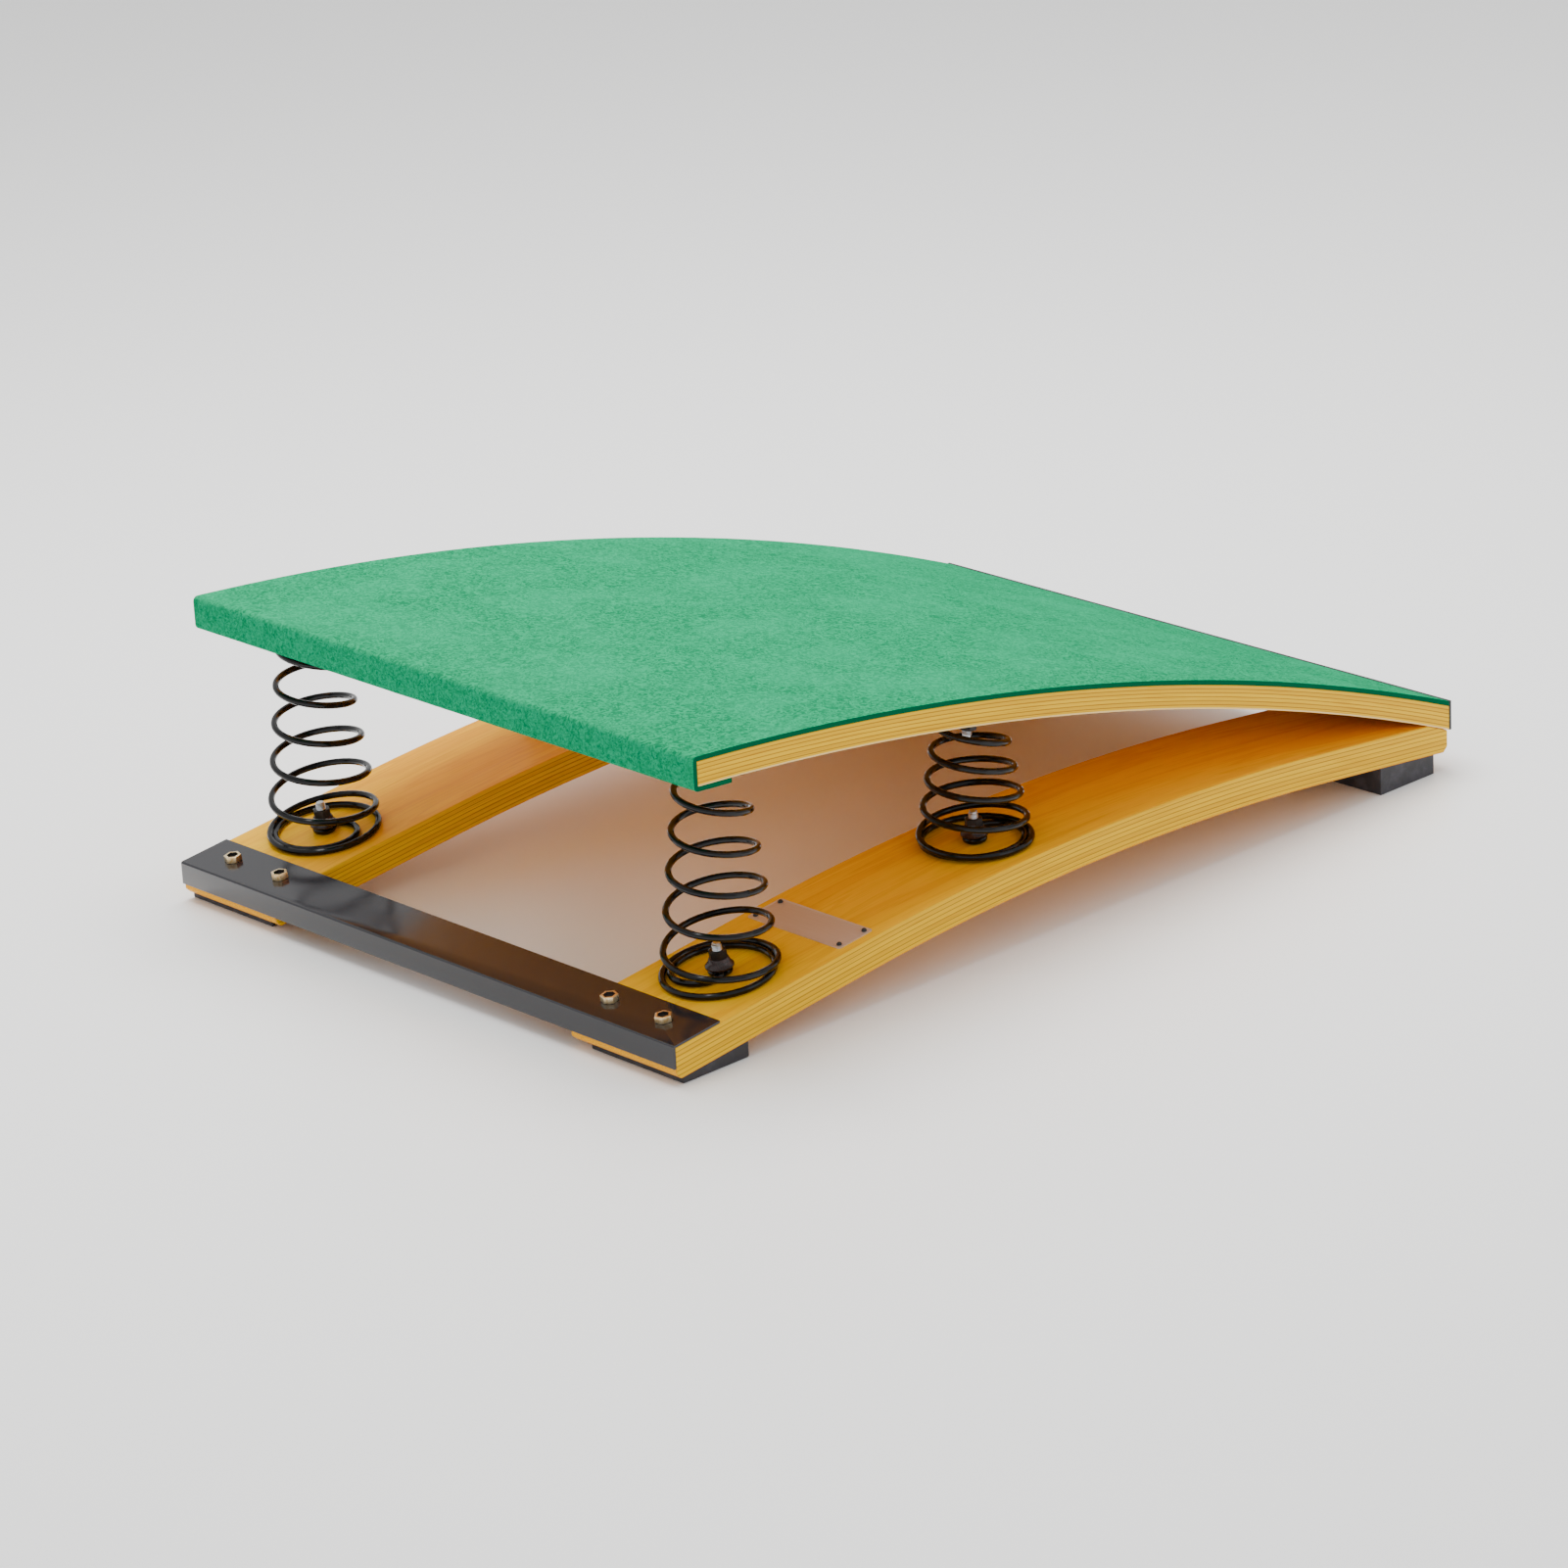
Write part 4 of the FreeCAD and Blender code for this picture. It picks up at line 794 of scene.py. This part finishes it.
def washer_face():
    return lathe([(0, 0), (WASHER_FACE_RADIUS, 0), (WASHER_FACE_RADIUS, WASHER_FACE), (0, WASHER_FACE)])


# %% [markdown]
# Each spring is clamped the same way at both ends. On the rail the bolt's head sits in a recess in
# the rail's underside; under the deck a flat head is let into the deck's top, beneath the carpet.

# %% Clamps at both ends of the springs
OVER = Matrix.Rotation(math.pi, 4, "X")
RECESSES = {"base": 7.5 * MM, "deck": 3 * MM}
HEAD_SEATS = {"base": RAIL_PLY - RECESSES["base"], "deck": DECK_PLY - RECESSES["deck"]}
HEADS = {"base": hex_head, "deck": flat_head}
THREADED = 18 * MM
stack = EYE_HEIGHT + CUP_HEIGHT + NUT_HEIGHT + THREAD_END

for body, node in (("base", "spring_base_"), ("deck", "spring_top_")):
    seats = []
    for end, x in SPRING_X.items():
        for sign in SIDES.values():
            if body == "base":
                seats.append(square_to(x, sign * RAIL_Y, rail_top(x), rail_slope(x)))
            else:
                under = deck_height(x, CARPET + DECK_PLY)
                seats.append(square_to(x, sign * RAIL_Y, under, deck_slope(x), downwards=True))
    over_eye = Matrix.Translation((0, 0, EYE_HEIGHT))
    cups = new_piece(node + "cups_turned", gather([(cup, seat @ over_eye) for seat in seats]))
    dress(cups, cup_nylon)
    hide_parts(node + "cups")
    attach(cups, body)
    down_to_head = Matrix.Translation((0, 0, -HEAD_SEATS[body]))
    shank = functools.partial(threaded_shank, HEAD_SEATS[body] + stack, THREADED)
    bolts = new_piece(node + "bolts_threaded",
                      gather([(HEADS[body], seat @ down_to_head @ OVER) for seat in seats]
                             + [(shank, seat @ down_to_head) for seat in seats]))
    dress(bolts, clear_zinc)
    # the second material darkens the hexagon heads' dishes: painted shade
    if body == "base":
        bolts.data.materials.append(black_oxide_and_dish_shade)
    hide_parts(node + "bolts")
    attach(bolts, body)
    dress(NODES[node + "nuts"], black_oxide_and_dish_shade)
    print(bolts.name, len(bolts.data.polygons), "faces")

# %% [markdown]
# ## Bolts in the steel angle
#
# Four yellow-zinc bolts hold the angle down. Whoever tightened them left each head at its own turn.

# %% Angle bolts
ANGLE_STEEL = 2 * MM
ANGLE_BOLT_X = -421.5 * MM
ANGLE_BOLT_OFFSETS = (-22 * MM, 39 * MM)
ANGLE_BOLT_LENGTH = 28.5 * MM
ANGLE_THREAD = 14 * MM
HEAD_TURNS = (12, 41, -18, 27)       # degrees

angle_shank = functools.partial(threaded_shank, ANGLE_BOLT_LENGTH, ANGLE_THREAD)
bolt_places = [square_to(ANGLE_BOLT_X, sign * (RAIL_Y - offset), rail_top(ANGLE_BOLT_X),
                         rail_slope(ANGLE_BOLT_X), ANGLE_STEEL)
               for sign in SIDES.values() for offset in ANGLE_BOLT_OFFSETS]
twists = [Matrix.Rotation(math.radians(a), 4, "Z") for a in HEAD_TURNS]
heads = [(hex_head, place @ twist) for place, twist in zip(bolt_places, twists)]
angle_bolts = new_piece("front_angle_bolts_pressed",
                        gather(heads + [(angle_shank, place @ OVER) for place in bolt_places]))
dress(angle_bolts, yellow_zinc)
# the second material darkens the heads' dishes: painted shade
angle_bolts.data.materials.append(black_oxide_and_dish_shade)
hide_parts("front_angle_bolts")
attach(angle_bolts, "base")

# %% [markdown]
# ## Rubber washers of the rear joint
#
# Each rear bolt presses the deck down through a steel and a rubber washer. When the deck dips, it
# tilts under the rubber, which squeezes.

# %% Rear rubber washers
REAR_BOLT_X = 423 * MM
REAR_BOLT_OFFSETS = (-34 * MM, 34 * MM)
COUNTERBORE = 12 * MM
RUBBER_GAP = 0.3 * MM
RUBBER_SEAT = DECK_PLY - COUNTERBORE + RUBBER_GAP        # above the deck's underside
RUBBER_HEIGHT = 2.7 * MM


def rubber_washer():
    """A thick ring with rounded rims."""
    bore, rim, round_off = 4.3 * MM, 10 * MM, 0.5 * MM
    return lathe([(bore, 0), (rim - round_off, 0), (rim, round_off), (rim, RUBBER_HEIGHT - round_off),
                  (rim - round_off, RUBBER_HEIGHT), (bore, RUBBER_HEIGHT), (bore, 0)], 40)


def rear_seat(y, along):
    under = deck_height(REAR_BOLT_X, CARPET + DECK_PLY)
    return square_to(REAR_BOLT_X, y, under, deck_slope(REAR_BOLT_X), along)


seats = [rear_seat(sign * RAIL_Y + offset, RUBBER_SEAT)
         for sign in SIDES.values() for offset in REAR_BOLT_OFFSETS]
washers = new_piece("rear_joint_rubber_washers_moulded", gather([(rubber_washer, s) for s in seats]))
dress(washers, foot_rubber)
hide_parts("rear_joint_rubber_washers")
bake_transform(washers)
print(washers.name, len(washers.data.polygons), "faces")

# %% [markdown]
# ## The label plate
#
# A thin aluminium plate is pinned across the left rail. It stays blank: only a raised rim is pressed
# into it. It is a rounded block, inset twice, and four pins hold it.

# %% Label plate
PLATE_X = -247 * MM
PLATE_SIZE = (37 * MM, 104 * MM, 0.8 * MM)
PLATE_CORNER = 2.5 * MM
PLATE_RIM = 1.2 * MM
RIM_SLOPE, RIM_HEIGHT = 0.3 * MM, 0.25 * MM


def satin_aluminium():
    """Anodised aluminium, brushed along the plate's length."""
    material, shader = finish_named("satin anodised aluminium", Metallic=0.55)
    coords = add(material, "TexCoord")
    stretched = add(material, "Mapping", {"Vector": coords.outputs["Object"],
                                          "Scale": (1 / (0.5 * MM), 1 / (25 * MM), 1 / (0.5 * MM))})
    brushed = add(material, "TexNoise", {"Vector": stretched, "Scale": 1.0, "Detail": 3.0})
    connect(material, blend_colours(material, brushed, srgb("CCBCB2"), srgb("E6DAD2")), shader,
            "Base Color")
    connect(material, ramp(material, brushed, 0.3, 0.7, 0.34, 0.5), shader, "Roughness")
    bumpy(material, shader, brushed, 0.1, 0.03 * MM)
    return material


def boxed(low, high):
    """A bmesh block between two corners."""
    bm = bmesh.new()
    bmesh.ops.create_cube(bm, size=1.0)
    bmesh.ops.scale(bm, verts=bm.verts, vec=Vector(high) - Vector(low))
    bmesh.ops.translate(bm, verts=bm.verts, vec=(Vector(high) + Vector(low)) / 2)
    return bm


def plate():
    """The plate's block with rounded corners and a raised rim."""
    half = [c / 2 for c in PLATE_SIZE]
    bm = boxed((-half[0], -half[1], 0), (half[0], half[1], PLATE_SIZE[2]))
    uprights = [e for e in bm.edges if abs(e.verts[0].co.z - e.verts[1].co.z) > 0.5 * MM]
    bevelled(bm, uprights, PLATE_CORNER, 5)
    top = max(bm.faces, key=lambda f: f.calc_center_median().z)
    bmesh.ops.inset_region(bm, faces=[top], thickness=PLATE_RIM, depth=0.0)
    bmesh.ops.inset_region(bm, faces=[top], thickness=RIM_SLOPE, depth=-RIM_HEIGHT)
    return bm


plate_place = square_to(PLATE_X, -RAIL_Y, rail_top(PLATE_X), rail_slope(PLATE_X))
label = new_piece("label_plate_rimmed", gather([(plate, plate_place)]))
dress(label, satin_aluminium())
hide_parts("label_plate")
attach(label, "base")
dress(NODES["label_plate_pins"], black_oxide_and_dish_shade)

# %% [markdown]
# ## Camera, floor and light
#
# The board is seen from its high front corner, from a little above, with a long lens and the
# camera turned slightly about its own axis. The floor is pale and plain. A large soft light hangs
# over the board, and a weak one stands far to the camera's right, as in a product studio.

# %% Camera
CAMERA_PLACE = Vector((-3.0281, -3.2601, 1.6904))
TURN, TILT, ROLL = math.radians(42.44), math.radians(20.295), math.radians(2.926)
LENS, SENSOR = 130.7, 36     # millimetres

ahead = Vector((math.cos(TILT) * math.sin(TURN), math.cos(TILT) * math.cos(TURN), -math.sin(TILT)))
right = Vector((math.cos(TURN), -math.sin(TURN), 0))
up = right.cross(ahead)
rolled_right = math.cos(ROLL) * right - math.sin(ROLL) * up
rolled_up = math.sin(ROLL) * right + math.cos(ROLL) * up
camera_data = bpy.data.cameras.new("camera")
camera_data.lens = LENS
camera_data.sensor_width = SENSOR
camera = bpy.data.objects.new("camera", camera_data)
axes = Matrix((rolled_right, rolled_up, -ahead)).transposed().to_4x4()
camera.matrix_world = Matrix.Translation(CAMERA_PLACE) @ axes
bpy.context.scene.collection.objects.link(camera)
bpy.context.scene.camera = camera
print("camera", [round(c, 3) for c in camera.location])

# %% Floor and lights
FLOOR_REACH = 12             # metres from the middle to each side
FLOOR_GAP = 0.1 * MM         # keeps the floor from sharing a plane with the feet's lower faces
SKY = 0.95

bm = bmesh.new()
bmesh.ops.create_grid(bm, x_segments=1, y_segments=1, size=FLOOR_REACH)
bmesh.ops.translate(bm, verts=bm.verts, vec=(0, 0, -FLOOR_GAP))
floor = new_piece("floor", bm, smooth=False)
floor_paint, _ = finish_named("pale studio floor", **{"Base Color": srgb("FCFCFB"), "Roughness": 0.32,
                                                      "Specular IOR Level": 0.5})
dress(floor, floor_paint)

world = bpy.data.worlds.new("studio")
world.use_nodes = True
world.node_tree.nodes["Background"].inputs["Color"].default_value = srgb("FFFFFF")
world.node_tree.nodes["Background"].inputs["Strength"].default_value = SKY
bpy.context.scene.world = world


def softbox(name, place, target, width, height, power):
    """A rectangular area light that looks at a point."""
    data = bpy.data.lights.new(name, "AREA")
    data.shape, data.size, data.size_y, data.energy = "RECTANGLE", width, height, power
    light = bpy.data.objects.new(name, data)
    toward = (Vector(target) - Vector(place)).normalized()
    light.matrix_world = Matrix.Translation(place) @ toward.to_track_quat("-Z", "Y").to_matrix().to_4x4()
    bpy.context.scene.collection.objects.link(light)


softbox("over the board", (0.2, 0.5, 2.6), (0, 0, 0.1), 2.4, 2.0, 125)
softbox("beside the camera", (0.9, -3.2, 1.6), (0, 0, 0.1), 1.6, 1.2, 5)
